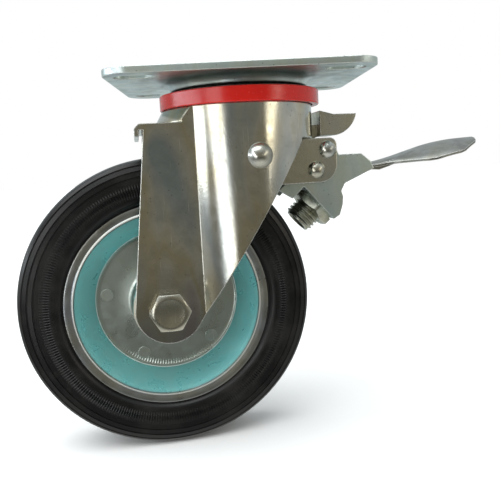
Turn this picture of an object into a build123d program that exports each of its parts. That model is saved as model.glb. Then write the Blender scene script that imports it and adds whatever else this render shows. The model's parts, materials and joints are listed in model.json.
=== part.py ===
"""Heavy-duty swivel plate caster with a pressed steel wheel and a foot brake.

Row frame: +Z up, origin at the centre of the top plate's upper face, on the swivel axis. X runs along
the plate's length. The fork stands turned a few degrees about Z, so everything below the plate is drawn
in the fork's own frame: X backwards to the pedal, Y across the wheel.
"""
import os
from math import atan2, cos, degrees, radians, sin

from build123d import *

os.makedirs("parts", exist_ok=True)

# Driving dimensions, in millimetres and degrees
WHEEL_DIAMETER = 160.0
TREAD_WIDTH = 40.0
OVERALL_HEIGHT = 202.0
TRAIL = 48.0
SWIVEL_REST = 7.6
SHEET = 3.0

PLATE_LENGTH = 135.0
PLATE_WIDTH = 110.0
PLATE_THICKNESS = 3.5
SLOT_SPACING_X = 105.0
SLOT_SPACING_Y = 80.0
SLOT_LENGTH = 20.0
SLOT_WIDTH = 11.0

LEG_HALF_WIDTH = 31.0
BACK_RADIUS = 41.5
BACK_CENTRE_X = -1.5
CROWN_TOP = -17.6
CROWN_SHEET = 3.2
LEG_TOP = -25.5
LEG_END_RADIUS = 18.0

AXLE_RADIUS = 6.0
RUNNING = 0.05
GAP = 0.3

PEDAL_PIN = (44.3, -42.8)
LOCK_PIN = (37.6, -53.5)
PIN_RADIUS = 3.0
CHEEK_OUTER = 20.0
CHEEK_SHEET = 2.5
LEVER_OUTER = 17.0
LEVER_SHEET = 2.5
STUD_ANGLE = 41.0
STUD_FACE = (30.4, -83.0)
STUD_RADIUS = 9.0

WHEEL_RADIUS = WHEEL_DIAMETER / 2
AXLE_Z = WHEEL_RADIUS - OVERALL_HEIGHT
LEG_INNER = LEG_HALF_WIDTH - SHEET

# The fork's frame, and the planes and axes drawn in it
TURN = radians(SWIVEL_REST)
FORK = Plane(origin=(0, 0, 0), x_dir=(cos(TURN), sin(TURN), 0), z_dir=(0, 0, 1))
SIDE = Plane(origin=(0, 0, 0), x_dir=FORK.x_dir, z_dir=-FORK.y_dir)


def in_fork(x, y, z):
    """A point of the fork's frame, as a vector of the row frame."""
    return FORK.from_local_coords(Vector(x, y, z))


def side_at(y):
    """The side plane moved to y across the fork: its local axes are the fork's X and Z."""
    return Plane(origin=in_fork(0, y, 0), x_dir=SIDE.x_dir, z_dir=SIDE.z_dir)


def across(x, z):
    """The axis through x, z that runs across the fork."""
    return Axis(in_fork(x, 0, z), FORK.y_dir)


AXLE = across(-TRAIL, AXLE_Z)
WHEEL_SECTION = Plane(origin=in_fork(-TRAIL, 0, AXLE_Z), x_dir=FORK.x_dir, z_dir=FORK.z_dir)


def wheel_plane(y):
    """A plane square to the axle, y across the fork."""
    return Plane(origin=in_fork(-TRAIL, y, AXLE_Z), x_dir=SIDE.x_dir, z_dir=SIDE.z_dir)


# ---------------------------------------------------------------------------------------------
# Swivel head: top plate, king bolt, ball races, dust seal
# ---------------------------------------------------------------------------------------------

CUP_RADIUS = 33.0
CUP_FLOOR = -12.0
FLARE_RADIUS = 38.0
FLARE_TOP_RADIUS = 42.6
FLARE_BOTTOM = -7.5
RACE_RADIUS = 36.8
BALL_RADIUS = 4.0
BALL_Z = -14.5
UPPER_RACE_OUTER = 42.2
KING_RADIUS = 8.0
LOWER_RACE_RADIUS = 19.0
LOWER_BALL_RADIUS = 3.0
LOWER_BALL_Z = -23.3
LOWER_RACE_TOP = -25.8
LOWER_RACE_SHEET = 3.5
LOCK_RING_SHEET = 4.0
LOCK_RING_RADIUS = 30.0
LOCK_TEETH = 24
KING_NUT_HEIGHT = 9.0

with BuildPart() as top_plate:
    with BuildSketch(Plane.XY.offset(-PLATE_THICKNESS)):
        RectangleRounded(PLATE_LENGTH, PLATE_WIDTH, 13)
    extrude(amount=PLATE_THICKNESS)
    with BuildSketch(Plane.XY.offset(CUP_FLOOR)):
        Circle(CUP_RADIUS)
    extrude(amount=-CUP_FLOOR - PLATE_THICKNESS)
    # The shoulder of the cup, which spreads into the plate above the upper race
    with BuildSketch(Plane.XZ):
        with BuildLine():
            Polyline(
                (FLARE_TOP_RADIUS, -PLATE_THICKNESS),
                (CUP_RADIUS - 1, -PLATE_THICKNESS),
                (CUP_RADIUS - 1, FLARE_BOTTOM),
                (FLARE_RADIUS, FLARE_BOTTOM),
            )
            TangentArc(
                (FLARE_RADIUS, FLARE_BOTTOM),
                (FLARE_TOP_RADIUS, -PLATE_THICKNESS),
                tangent=(0, 1),
            )
        make_face()
    revolve(axis=Axis.Z)
    with BuildSketch(Plane.XY.offset(CUP_FLOOR + PLATE_THICKNESS)):
        Circle(CUP_RADIUS - PLATE_THICKNESS)
    extrude(amount=-CUP_FLOOR, mode=Mode.SUBTRACT)
    with BuildSketch(Plane.XY):
        with GridLocations(SLOT_SPACING_X, SLOT_SPACING_Y, 2, 2):
            SlotOverall(SLOT_LENGTH, SLOT_WIDTH)
    extrude(amount=-PLATE_THICKNESS, mode=Mode.SUBTRACT)
    with BuildSketch(Plane.XY):
        Circle(KING_RADIUS)
    extrude(amount=CUP_FLOOR, mode=Mode.SUBTRACT)
    fillet(top_plate.edges().filter_by(GeomType.CIRCLE).group_by(SortBy.LENGTH)[-1].group_by(Axis.Z)[-1], 1.5)
top_plate.part.label = "top_plate"
export_step(top_plate.part, "parts/top_plate.step")

UPPER_RACE_TOP = -7.6
UPPER_RACE_BOTTOM = -11.4

with BuildPart() as upper_race:
    with BuildSketch(SIDE):
        with BuildLine():
            Polyline(
                (CUP_RADIUS, UPPER_RACE_BOTTOM),
                (UPPER_RACE_OUTER, UPPER_RACE_BOTTOM),
                (UPPER_RACE_OUTER, UPPER_RACE_BOTTOM + 1.4),
                (CUP_RADIUS + 2.5, UPPER_RACE_TOP),
                (CUP_RADIUS, UPPER_RACE_TOP),
                close=True,
            )
        make_face()
        with Locations((RACE_RADIUS, BALL_Z)):
            Circle(BALL_RADIUS + GAP, mode=Mode.SUBTRACT)
    revolve(axis=Axis.Z)
upper_race.part.label = "upper_race"
export_step(upper_race.part, "parts/upper_race.step")


def ball_ring(ball_radius, ring_radius, height, count):
    """A ring of separate balls about the swivel axis."""
    with BuildPart() as balls:
        with Locations((0, 0, height)):
            with PolarLocations(ring_radius, count):
                Sphere(ball_radius)
    return balls


upper_balls = ball_ring(BALL_RADIUS, RACE_RADIUS, BALL_Z, 22)
upper_balls.part.label = "upper_balls"
export_step(upper_balls.part, "parts/upper_balls.step")

lower_balls = ball_ring(LOWER_BALL_RADIUS, LOWER_RACE_RADIUS, LOWER_BALL_Z, 16)
lower_balls.part.label = "lower_balls"
export_step(lower_balls.part, "parts/lower_balls.step")

SEAL_RADIUS = 44.25
SEAL_TOP = -9.8

with BuildPart() as dust_seal:
    with BuildSketch(SIDE):
        with BuildLine():
            Polyline(
                (40.9, CROWN_TOP),
                (SEAL_RADIUS, CROWN_TOP),
                (SEAL_RADIUS, SEAL_TOP),
                (UPPER_RACE_OUTER + GAP, SEAL_TOP),
                (UPPER_RACE_OUTER + GAP, CROWN_TOP + 1.4),
                (40.9, CROWN_TOP + 1.4),
                close=True,
            )
        make_face()
    revolve(axis=Axis.Z)
    fillet(dust_seal.edges().filter_by(GeomType.CIRCLE).group_by(SortBy.RADIUS)[-1], 0.5)
dust_seal.part.label = "dust_seal"
export_step(dust_seal.part, "parts/dust_seal.step")

with BuildPart() as king_bolt:
    with BuildSketch(Plane.XY.offset(CUP_FLOOR + PLATE_THICKNESS)):
        RegularPolygon(12, 6, major_radius=False)
    extrude(amount=7)
    chamfer(king_bolt.edges().group_by(Axis.Z)[-1], 0.8)
    with BuildSketch(Plane.XY.offset(CUP_FLOOR + PLATE_THICKNESS)):
        Circle(KING_RADIUS)
    extrude(amount=-36)
    chamfer(king_bolt.edges().group_by(Axis.Z)[0], 1.0)
king_bolt.part.label = "king_bolt"
export_step(king_bolt.part, "parts/king_bolt.step")

with BuildPart() as king_sleeve:
    with BuildSketch(Plane.XY.offset(LOWER_RACE_TOP)):
        Circle(11.5)
        Circle(KING_RADIUS, mode=Mode.SUBTRACT)
    extrude(amount=CUP_FLOOR - LOWER_RACE_TOP)
king_sleeve.part.label = "king_sleeve"
export_step(king_sleeve.part, "parts/king_sleeve.step")

with BuildPart() as lower_race:
    with BuildSketch(SIDE):
        with Locations((KING_RADIUS, LOWER_RACE_TOP)):
            Rectangle(25 - KING_RADIUS, LOWER_RACE_SHEET, align=(Align.MIN, Align.MAX))
        with Locations((LOWER_RACE_RADIUS, LOWER_BALL_Z)):
            Circle(LOWER_BALL_RADIUS + GAP, mode=Mode.SUBTRACT)
    revolve(axis=Axis.Z)
lower_race.part.label = "lower_race"
export_step(lower_race.part, "parts/lower_race.step")

LOCK_RING_TOP = LOWER_RACE_TOP - LOWER_RACE_SHEET

with BuildPart() as swivel_lock_ring:
    with BuildSketch(FORK.offset(LOCK_RING_TOP - LOCK_RING_SHEET)):
        Circle(LOCK_RING_RADIUS)
        Circle(KING_RADIUS, mode=Mode.SUBTRACT)
        with PolarLocations(LOCK_RING_RADIUS, LOCK_TEETH):
            Rectangle(6, 4.2, mode=Mode.SUBTRACT)
    extrude(amount=LOCK_RING_SHEET)
swivel_lock_ring.part.label = "swivel_lock_ring"
export_step(swivel_lock_ring.part, "parts/swivel_lock_ring.step")

with BuildPart() as king_nut:
    with BuildSketch(Plane.XY.offset(LOCK_RING_TOP - LOCK_RING_SHEET)):
        RegularPolygon(12, 6, major_radius=False)
        Circle(KING_RADIUS, mode=Mode.SUBTRACT)
    extrude(amount=-KING_NUT_HEIGHT)
king_nut.part.label = "king_nut"
export_step(king_nut.part, "parts/king_nut.step")

# ---------------------------------------------------------------------------------------------
# Fork: one pressing, a round crown with flat legs whose back wall follows the crown
# ---------------------------------------------------------------------------------------------

CROWN_HOLE = 14.5
FORK_BOTTOM = AXLE_Z - LEG_END_RADIUS - 1
FRONT_EDGE_TOP = -54.5
BACK_EDGE_HIGH = (27.5, -38.0)
BACK_WALL_LOW = -36.0
CONE_FOOT = 47.0
CONE_START = 122.0
FLANGE_FRONT = -59.5
FLANGE_BOTTOM = -32.0
WINDOW_HALF = 10.2
WINDOW_TOP = -23.5


RIVET_X = 2.3
RIVET_Z = -44.3
RIVET_SHANK = 4.0


def rivet_plane(side):
    """The plane at one of the bracket's rivets, square to the fork's round wall and facing outwards."""
    across_wall = side * (BACK_RADIUS**2 - (RIVET_X - BACK_CENTRE_X) ** 2) ** 0.5
    outward = in_fork(RIVET_X - BACK_CENTRE_X, across_wall, 0)
    return Plane(origin=in_fork(RIVET_X, across_wall, RIVET_Z), z_dir=outward)


def fork_plan(inset):
    """The fork's plan at its lowest level, inset from its outer face: a round back and flat sides."""
    with BuildSketch(FORK.offset(FORK_BOTTOM)) as plan:
        with Locations((BACK_CENTRE_X, 0)):
            Circle(BACK_RADIUS - inset)
        Rectangle(80, 2 * (LEG_HALF_WIDTH - inset), align=(Align.MAX, Align.CENTER))
    return plan.sketch


with BuildPart() as fork:
    extrude(fork_plan(0), amount=CROWN_TOP - FORK_BOTTOM)
    extrude(fork_plan(SHEET), amount=LEG_TOP - SHEET - FORK_BOTTOM, mode=Mode.SUBTRACT)
    with BuildSketch(SIDE):
        with BuildLine():
            leg_end = CenterArc((-TRAIL, AXLE_Z), LEG_END_RADIUS, 180, 151)
            Polyline(
                leg_end @ 1,
                BACK_EDGE_HIGH,
                (BACK_EDGE_HIGH[0], BACK_WALL_LOW),
                (60, BACK_WALL_LOW),
                (60, CROWN_TOP),
                (-41, CROWN_TOP),
                (-41, LEG_TOP),
                (FRONT_EDGE_TOP, LEG_TOP),
                leg_end @ 0,
            )
        make_face()
    extrude(amount=60, both=True, mode=Mode.INTERSECT)
    # The crown stands above the flat legs only inside its own round
    with BuildSketch(FORK.offset(LEG_TOP)):
        Rectangle(160, 160)
        with Locations((BACK_CENTRE_X, 0)):
            Circle(BACK_RADIUS, mode=Mode.SUBTRACT)
    extrude(amount=-LEG_TOP, mode=Mode.SUBTRACT)
    # The cone of the crown spreads forwards onto the legs and ends flush with their outer faces
    with BuildPart(mode=Mode.PRIVATE) as cone:
        cone_start = in_fork(cos(radians(CONE_START)), sin(radians(CONE_START)), 0)
        with BuildSketch(Plane(origin=(0, 0, 0), x_dir=cone_start, z_dir=cone_start.cross(Vector(0, 0, 1)))):
            with BuildLine():
                Polyline(
                    (38, CROWN_TOP - 0.2),
                    (43.4, CROWN_TOP - 0.2),
                    (CONE_FOOT, LEG_TOP + 1.5),
                    (CONE_FOOT, LEG_TOP - 0.5),
                    (38, LEG_TOP - 0.5),
                    close=True,
                )
            make_face()
        revolve(axis=Axis.Z, revolution_arc=2 * (180 - CONE_START))
        with BuildSketch(FORK.offset(LEG_TOP - 1)):
            Rectangle(120, 2 * LEG_HALF_WIDTH)
        extrude(amount=-LEG_TOP, mode=Mode.INTERSECT)
    add(cone.part)
    # The front edge of the sheet over the legs is turned down as a stiffener
    with BuildSketch(SIDE):
        with BuildLine():
            Polyline(
                (FRONT_EDGE_TOP + 1, LEG_TOP),
                (FLANGE_FRONT + 2.5, LEG_TOP),
                (FLANGE_FRONT, LEG_TOP - 2.5),
                (FLANGE_FRONT, FLANGE_BOTTOM),
                (FLANGE_FRONT + 2.4, FLANGE_BOTTOM),
                (FLANGE_FRONT + 2.4, LEG_TOP - 3.2),
                (FRONT_EDGE_TOP + 1, LEG_TOP - 3.2),
                close=True,
            )
        make_face()
    extrude(amount=LEG_HALF_WIDTH, both=True)
    # The hollow under the round crown, which is deeper than the one under the legs
    with BuildSketch(FORK.offset(CROWN_TOP - CROWN_SHEET)):
        Circle(36.5)
    extrude(amount=-12, mode=Mode.SUBTRACT)
    with BuildSketch(FORK):
        Circle(CROWN_HOLE)
    extrude(amount=-30, mode=Mode.SUBTRACT)
    with BuildSketch(SIDE):
        with Locations((RACE_RADIUS, BALL_Z)):
            Circle(BALL_RADIUS + 0.02)
        with Locations((LOWER_RACE_RADIUS, LOWER_BALL_Z)):
            Circle(LOWER_BALL_RADIUS + 0.02)
    revolve(axis=Axis.Z, mode=Mode.SUBTRACT)
    # The window in the back wall that the swivel lock works through
    with BuildSketch(SIDE):
        with Locations((30, BACK_WALL_LOW - 1)):
            Rectangle(20, WINDOW_TOP - BACK_WALL_LOW + 1, align=(Align.MIN, Align.MIN))
    extrude(amount=WINDOW_HALF, both=True, mode=Mode.SUBTRACT)
    # Axle holes
    with BuildSketch(wheel_plane(0)):
        Circle(AXLE_RADIUS)
    extrude(amount=50, both=True, mode=Mode.SUBTRACT)
    # Holes for the rivets of the brake bracket
    for side in (-1, 1):
        with BuildSketch(rivet_plane(side)):
            Circle(RIVET_SHANK)
        extrude(amount=-SHEET - 1, mode=Mode.SUBTRACT)
fork.part.label = "fork"
export_step(fork.part, "parts/fork.step")

# ---------------------------------------------------------------------------------------------
# Wheel: rubber tyre on two pressed steel rim halves, welded to a hub tube with a roller bearing
# ---------------------------------------------------------------------------------------------

HALF_TREAD = TREAD_WIDTH / 2
RIM_LIP_RADIUS = 55.5
DISC_RADIUS = 39.7
HUB_RADIUS = 18.8
HUB_BORE = 15.4
HUB_HALF_LENGTH = 24.5
RIVET_CIRCLE = 33.5
RIVET_COUNT = 5
RIVET_PHASE = 171.0

# The rim's section, from the disc out to the lip, as radius and distance from the middle plane
RIM_INSIDE = [(DISC_RADIUS, 0.1), (48.9, 13.6), (50.6, 15.4), (53.4, 16.4), (RIM_LIP_RADIUS, 16.4)]
RIM_OUTSIDE = [(RIM_LIP_RADIUS, 18.2), (52.4, 18.2), (50.2, 17.2), (47.2, 14.2), (38.6, 2.1)]

with BuildPart() as tyre:
    with BuildSketch(WHEEL_SECTION):
        with BuildLine():
            Polyline(
                (DISC_RADIUS, 0),
                *RIM_INSIDE,
                (RIM_LIP_RADIUS, 17.6),
                (58.5, 19.2),
                (66, HALF_TREAD),
                (74, HALF_TREAD - 0.6),
                (78.2, HALF_TREAD - 2.8),
                (79.6, HALF_TREAD - 6.5),
                (WHEEL_RADIUS, 8),
                (WHEEL_RADIUS, 0),
                close=True,
            )
        make_face()
        mirror(about=Plane.XZ)
    revolve(axis=AXLE)
tyre.part.label = "tyre"
export_step(tyre.part, "parts/tyre.step")


def rim_half(side):
    """One pressed half of the rim: disc, dished wall and lip. side is -1 or 1 along the axle."""
    with BuildPart() as half:
        with BuildSketch(WHEEL_SECTION):
            with BuildLine():
                inside = [(radius, side * depth) for radius, depth in RIM_INSIDE]
                outside = [(radius, side * depth) for radius, depth in RIM_OUTSIDE]
                Polyline((HUB_RADIUS, side * 0.1), *inside, *outside, (HUB_RADIUS, side * 2.1), close=True)
            make_face()
        revolve(axis=AXLE)
        with BuildSketch(wheel_plane(0)):
            with PolarLocations(RIVET_CIRCLE, RIVET_COUNT, start_angle=RIVET_PHASE):
                Circle(2.5)
        extrude(amount=10, both=True, mode=Mode.SUBTRACT)
    return half


rim_near = rim_half(-1)
rim_near.part.label = "rim_near"
export_step(rim_near.part, "parts/rim_near.step")

rim_far = rim_half(1)
rim_far.part.label = "rim_far"
export_step(rim_far.part, "parts/rim_far.step")

with BuildPart() as rim_rivets:
    with BuildSketch(wheel_plane(-2.9)):
        with PolarLocations(RIVET_CIRCLE, RIVET_COUNT, start_angle=RIVET_PHASE):
            Circle(3.4)
    extrude(amount=-0.8)
    with BuildSketch(wheel_plane(2.1)):
        with PolarLocations(RIVET_CIRCLE, RIVET_COUNT, start_angle=RIVET_PHASE):
            Circle(3.4)
    extrude(amount=-0.8)
    with BuildSketch(wheel_plane(-2.9)):
        with PolarLocations(RIVET_CIRCLE, RIVET_COUNT, start_angle=RIVET_PHASE):
            Circle(2.5)
    extrude(amount=-5.8)
rim_rivets.part.label = "rim_rivets"
export_step(rim_rivets.part, "parts/rim_rivets.step")

with BuildPart() as hub_tube:
    with BuildSketch(wheel_plane(-HUB_HALF_LENGTH)):
        Circle(HUB_RADIUS)
        Circle(HUB_BORE, mode=Mode.SUBTRACT)
    extrude(amount=-2 * HUB_HALF_LENGTH)
hub_tube.part.label = "hub_tube"
export_step(hub_tube.part, "parts/hub_tube.step")

SLEEVE_RADIUS = 10.0
ROLLER_RADIUS = 2.6
ROLLER_COUNT = 12
ROLLER_HALF = 19.0
ROLLER_CIRCLE = (SLEEVE_RADIUS + HUB_BORE) / 2
CAGE_HALF = 21.5

with BuildPart() as rollers:
    with BuildSketch(wheel_plane(-ROLLER_HALF)):
        with PolarLocations(ROLLER_CIRCLE, ROLLER_COUNT):
            Circle(ROLLER_RADIUS)
    extrude(amount=-2 * ROLLER_HALF)
rollers.part.label = "rollers"
export_step(rollers.part, "parts/rollers.step")

with BuildPart() as roller_cage:
    with BuildSketch(wheel_plane(-CAGE_HALF)):
        Circle(ROLLER_CIRCLE + 1.4)
        Circle(ROLLER_CIRCLE - 1.4, mode=Mode.SUBTRACT)
    extrude(amount=-2 * CAGE_HALF)
    with BuildSketch(wheel_plane(-ROLLER_HALF - 0.1)):
        with PolarLocations(ROLLER_CIRCLE, ROLLER_COUNT):
            Circle(ROLLER_RADIUS + 0.1)
    extrude(amount=-2 * ROLLER_HALF - 0.2, mode=Mode.SUBTRACT)
roller_cage.part.label = "roller_cage"
export_step(roller_cage.part, "parts/roller_cage.step")


def thread_guard(side):
    """The plastic cap that keeps thread and dust out of one end of the hub."""
    with BuildPart() as guard:
        with BuildSketch(wheel_plane(side * HUB_HALF_LENGTH)):
            Circle(HUB_RADIUS)
            Circle(SLEEVE_RADIUS + GAP, mode=Mode.SUBTRACT)
        extrude(amount=-side * 1.8)
        with BuildSketch(wheel_plane(side * HUB_HALF_LENGTH)):
            Circle(HUB_BORE)
            Circle(HUB_BORE - 2, mode=Mode.SUBTRACT)
        extrude(amount=side * 2.2)
    return guard


guard_near = thread_guard(-1)
guard_near.part.label = "thread_guard_near"
export_step(guard_near.part, "parts/thread_guard_near.step")

guard_far = thread_guard(1)
guard_far.part.label = "thread_guard_far"
export_step(guard_far.part, "parts/thread_guard_far.step")

# ---------------------------------------------------------------------------------------------
# Axle: sleeve clamped between the legs by an M12 bolt and nut
# ---------------------------------------------------------------------------------------------

HEAD_FLATS = 19.0
HEAD_HEIGHT = 7.5
WASHER_HEIGHT = 2.5
NUT_HEIGHT = 10.0

with BuildPart() as axle_sleeve:
    with BuildSketch(wheel_plane(-LEG_INNER)):
        Circle(SLEEVE_RADIUS)
        Circle(AXLE_RADIUS, mode=Mode.SUBTRACT)
    extrude(amount=-2 * LEG_INNER)
axle_sleeve.part.label = "axle_sleeve"
export_step(axle_sleeve.part, "parts/axle_sleeve.step")

with BuildPart() as axle_bolt:
    with BuildSketch(wheel_plane(-LEG_HALF_WIDTH)):
        RegularPolygon(HEAD_FLATS / 2, 6, major_radius=False, rotation=30)
    extrude(amount=HEAD_HEIGHT)
    chamfer(axle_bolt.faces().sort_by(Axis(in_fork(0, 0, 0), FORK.y_dir))[0].edges(), 0.7)
    with BuildSketch(wheel_plane(-LEG_HALF_WIDTH)):
        Circle(AXLE_RADIUS)
    extrude(amount=-2 * LEG_HALF_WIDTH - WASHER_HEIGHT - NUT_HEIGHT - 3)
axle_bolt.part.label = "axle_bolt"
export_step(axle_bolt.part, "parts/axle_bolt.step")

with BuildPart() as axle_washer:
    with BuildSketch(wheel_plane(LEG_HALF_WIDTH)):
        Circle(12)
        Circle(AXLE_RADIUS, mode=Mode.SUBTRACT)
    extrude(amount=-WASHER_HEIGHT)
axle_washer.part.label = "axle_washer"
export_step(axle_washer.part, "parts/axle_washer.step")

with BuildPart() as axle_nut:
    with BuildSketch(wheel_plane(LEG_HALF_WIDTH + WASHER_HEIGHT)):
        RegularPolygon(HEAD_FLATS / 2, 6, major_radius=False)
        Circle(AXLE_RADIUS, mode=Mode.SUBTRACT)
    extrude(amount=-NUT_HEIGHT)
axle_nut.part.label = "axle_nut"
export_step(axle_nut.part, "parts/axle_nut.step")

# ---------------------------------------------------------------------------------------------
# Brake: bracket riveted inside the fork, pedal lever with its stud, and the swivel lock
# ---------------------------------------------------------------------------------------------

CHEEK_TOP = -36.3
CHEEK_BOTTOM = -60.6
CHEEK_BACK = 49.8
CHEEK_FRONT = 12.0
WEB_FRONT = 17.5
WEB_BACK = 31.0
WING_BOTTOM = -54.0
GUSSET_OUTER = 34.0
WING_OUTER = BACK_RADIUS - SHEET - RUNNING
WING_FRONT_X = -9.0


with BuildPart() as brake_bracket:
    # Cheeks
    with BuildSketch(side_at(-CHEEK_OUTER)):
        with BuildLine():
            Polyline(
                (CHEEK_FRONT, CHEEK_TOP),
                (CHEEK_BACK, CHEEK_TOP),
                (CHEEK_BACK, CHEEK_BOTTOM),
                (CHEEK_FRONT, CHEEK_BOTTOM),
                close=True,
            )
        cheek = make_face()
        back_corners = cheek.vertices().group_by(Axis.X)[-1].sort_by(Axis.Y)
        fillet(back_corners[0], 10)
    extrude(amount=-2 * CHEEK_OUTER)
    fillet(brake_bracket.edges().filter_by(Axis((0, 0, 0), FORK.y_dir)).sort_by(Axis.Z)[-2:], 4)
    # Wings that lie against the inside of the fork's round wall, each joined to its cheek
    with BuildSketch(FORK.offset(WING_BOTTOM)):
        with Locations((BACK_CENTRE_X, 0)):
            Circle(WING_OUTER)
            Circle(WING_OUTER - CHEEK_SHEET, mode=Mode.SUBTRACT)
        with Locations((WING_FRONT_X, 0)):
            Rectangle(60, 100, align=(Align.MAX, Align.CENTER), mode=Mode.SUBTRACT)
        with Locations((CHEEK_FRONT + CHEEK_SHEET, 0)):
            Rectangle(60, 100, align=(Align.MIN, Align.CENTER), mode=Mode.SUBTRACT)
    extrude(amount=CHEEK_TOP - WING_BOTTOM)
    with BuildSketch(FORK.offset(WING_BOTTOM)):
        with Locations((CHEEK_FRONT, 0)):
            Rectangle(CHEEK_SHEET, 2 * GUSSET_OUTER, align=(Align.MIN, Align.CENTER))
    extrude(amount=CHEEK_TOP - WING_BOTTOM)
    # The hollow between the cheeks, closed over only by the web
    with BuildSketch(FORK.offset(CHEEK_BOTTOM - 1)):
        with Locations((CHEEK_FRONT - 1, 0)):
            Rectangle(60, 2 * (CHEEK_OUTER - CHEEK_SHEET), align=(Align.MIN, Align.CENTER))
    extrude(amount=60, mode=Mode.SUBTRACT)
    with BuildSketch(FORK.offset(CHEEK_TOP - CHEEK_SHEET)):
        with Locations((WEB_FRONT, 0)):
            Rectangle(WEB_BACK - WEB_FRONT, 2 * CHEEK_OUTER, align=(Align.MIN, Align.CENTER))
    extrude(amount=CHEEK_SHEET)
    # Holes for the pins and the rivets
    with BuildSketch(SIDE):
        with Locations(PEDAL_PIN, LOCK_PIN):
            Circle(PIN_RADIUS)
    extrude(amount=40, both=True, mode=Mode.SUBTRACT)
    for side in (-1, 1):
        with BuildSketch(rivet_plane(side)):
            Circle(RIVET_SHANK)
        extrude(amount=-SHEET - CHEEK_SHEET - 1, mode=Mode.SUBTRACT)
brake_bracket.part.label = "brake_bracket"
export_step(brake_bracket.part, "parts/brake_bracket.step")


def dome(plane, radius, height):
    """A domed rivet head standing on a plane, along the plane's normal."""
    with BuildPart(mode=Mode.PRIVATE) as head:
        with BuildSketch(Plane(origin=plane.origin, x_dir=plane.x_dir, z_dir=-plane.y_dir)):
            with BuildLine():
                crown = TangentArc((0, height), (radius, 0), tangent=(1, 0))
                Polyline(crown @ 1, (0, 0), (0, height))
            make_face()
        revolve(axis=Axis(plane.origin, plane.z_dir))
    return head.part


PIN_HEAD = 4.9
PIN_HEAD_HEIGHT = 3.2


def domed_pin(place):
    """A pin across the cheeks with a domed head outside each of them."""
    with BuildPart() as body:
        with BuildSketch(side_at(-CHEEK_OUTER)):
            with Locations(place):
                Circle(PIN_RADIUS)
        extrude(amount=-2 * CHEEK_OUTER)
        for side in (-1, 1):
            end = in_fork(place[0], side * CHEEK_OUTER, place[1])
            add(dome(Plane(origin=end, x_dir=FORK.x_dir, z_dir=side * FORK.y_dir), PIN_HEAD, PIN_HEAD_HEIGHT))
    return body


pedal_pin = domed_pin(PEDAL_PIN)
pedal_pin.part.label = "pedal_pin"
export_step(pedal_pin.part, "parts/pedal_pin.step")

lock_pin = domed_pin(LOCK_PIN)
lock_pin.part.label = "lock_pin"
export_step(lock_pin.part, "parts/lock_pin.step")

with BuildPart() as bracket_rivets:
    for side in (-1, 1):
        with BuildSketch(rivet_plane(side).offset(0.4)):
            Circle(RIVET_SHANK)
        extrude(amount=-SHEET - CHEEK_SHEET - 0.4 - 0.2)
        add(dome(rivet_plane(side).offset(0.05), 6.6, 3.9))
bracket_rivets.part.label = "bracket_rivets"
export_step(bracket_rivets.part, "parts/bracket_rivets.step")

# Places along the brake stud's axis, measured from its face, and across it
ALONG = Vector(cos(radians(STUD_ANGLE)), sin(radians(STUD_ANGLE)))
ACROSS = Vector(-sin(radians(STUD_ANGLE)), cos(radians(STUD_ANGLE)))
STUD_PLATE = 14.0
STUD_PLATE_SHEET = 3.0
STUD_LENGTH = 17.5
STUD_NUT_HEIGHT = 5.0


def stud_point(along, across_it):
    """A point of the side view, along the stud's axis from its face and across it."""
    place = Vector(*STUD_FACE) + ALONG * along + ACROSS * across_it
    return (place.X, place.Y)


def stud_plane(along):
    """The plane square to the stud's axis, facing up it."""
    x, z = stud_point(along, 0)
    return Plane(origin=in_fork(x, 0, z), x_dir=FORK.y_dir, z_dir=FORK.x_dir * ALONG.X + FORK.z_dir * ALONG.Y)


BLADE_TOP = [(71, -50.9), (78, -51.0), (90, -48.6), (103, -45), (115, -41.9), (128, -39.9), (139, -39.2)]
CHANNEL_END = [(70.4, -50.2), (72.4, -54.4)]
BLADE_SHEET = 2.4
NECK_HALF = 11.0
BLADE_HALF = 24.0

with BuildPart() as pedal_blade:
    # The pressed sheet, flat across and bent in side view
    with BuildSketch(SIDE):
        with BuildLine():
            top = Spline(*BLADE_TOP)
            bottom = Spline(*[(x, z - BLADE_SHEET) for x, z in BLADE_TOP])
            Line(top @ 0, bottom @ 0)
            Line(top @ 1, bottom @ 1)
        make_face()
    extrude(amount=BLADE_HALF, both=True)
    with BuildSketch(FORK.offset(-70)):
        with BuildLine():
            Polyline(
                (60, NECK_HALF),
                (84, NECK_HALF),
                (106, BLADE_HALF),
                (124, BLADE_HALF),
                (139.5, 12),
                (139.5, -12),
                (124, -BLADE_HALF),
                (106, -BLADE_HALF),
                (84, -NECK_HALF),
                (60, -NECK_HALF),
                close=True,
            )
        blade = make_face()
        fillet(blade.vertices().group_by(Axis.X)[1:], 7)
    extrude(amount=50, mode=Mode.INTERSECT)
    # The flanges that stiffen its neck, run out along the sheet
    with BuildSketch(SIDE):
        with BuildLine():
            Polyline((70, -52.3), (70, -55.4), (78, -55.6), (101, -47.4), (90, -50), (78, -52.2), close=True)
        make_face()
    extrude(amount=NECK_HALF, both=True)
    with BuildSketch(SIDE):
        with BuildLine():
            under = Spline(*[(x, z - BLADE_SHEET) for x, z in BLADE_TOP])
            Polyline(under @ 1, (139, -60), (60, -60), (60, -53.3), under @ 0)
        make_face()
    extrude(amount=NECK_HALF - BLADE_SHEET, both=True, mode=Mode.SUBTRACT)
    # The neck is cut square to the channel's end, where it is welded on
    with BuildSketch(SIDE):
        with BuildLine():
            Polyline(CHANNEL_END[0], CHANNEL_END[1], (73, -60), (60, -60), (60, -45), (68, -45), close=True)
        make_face()
    extrude(amount=NECK_HALF + 1, both=True, mode=Mode.SUBTRACT)
pedal_blade.part.label = "pedal_blade"
export_step(pedal_blade.part, "parts/pedal_blade.step")

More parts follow.
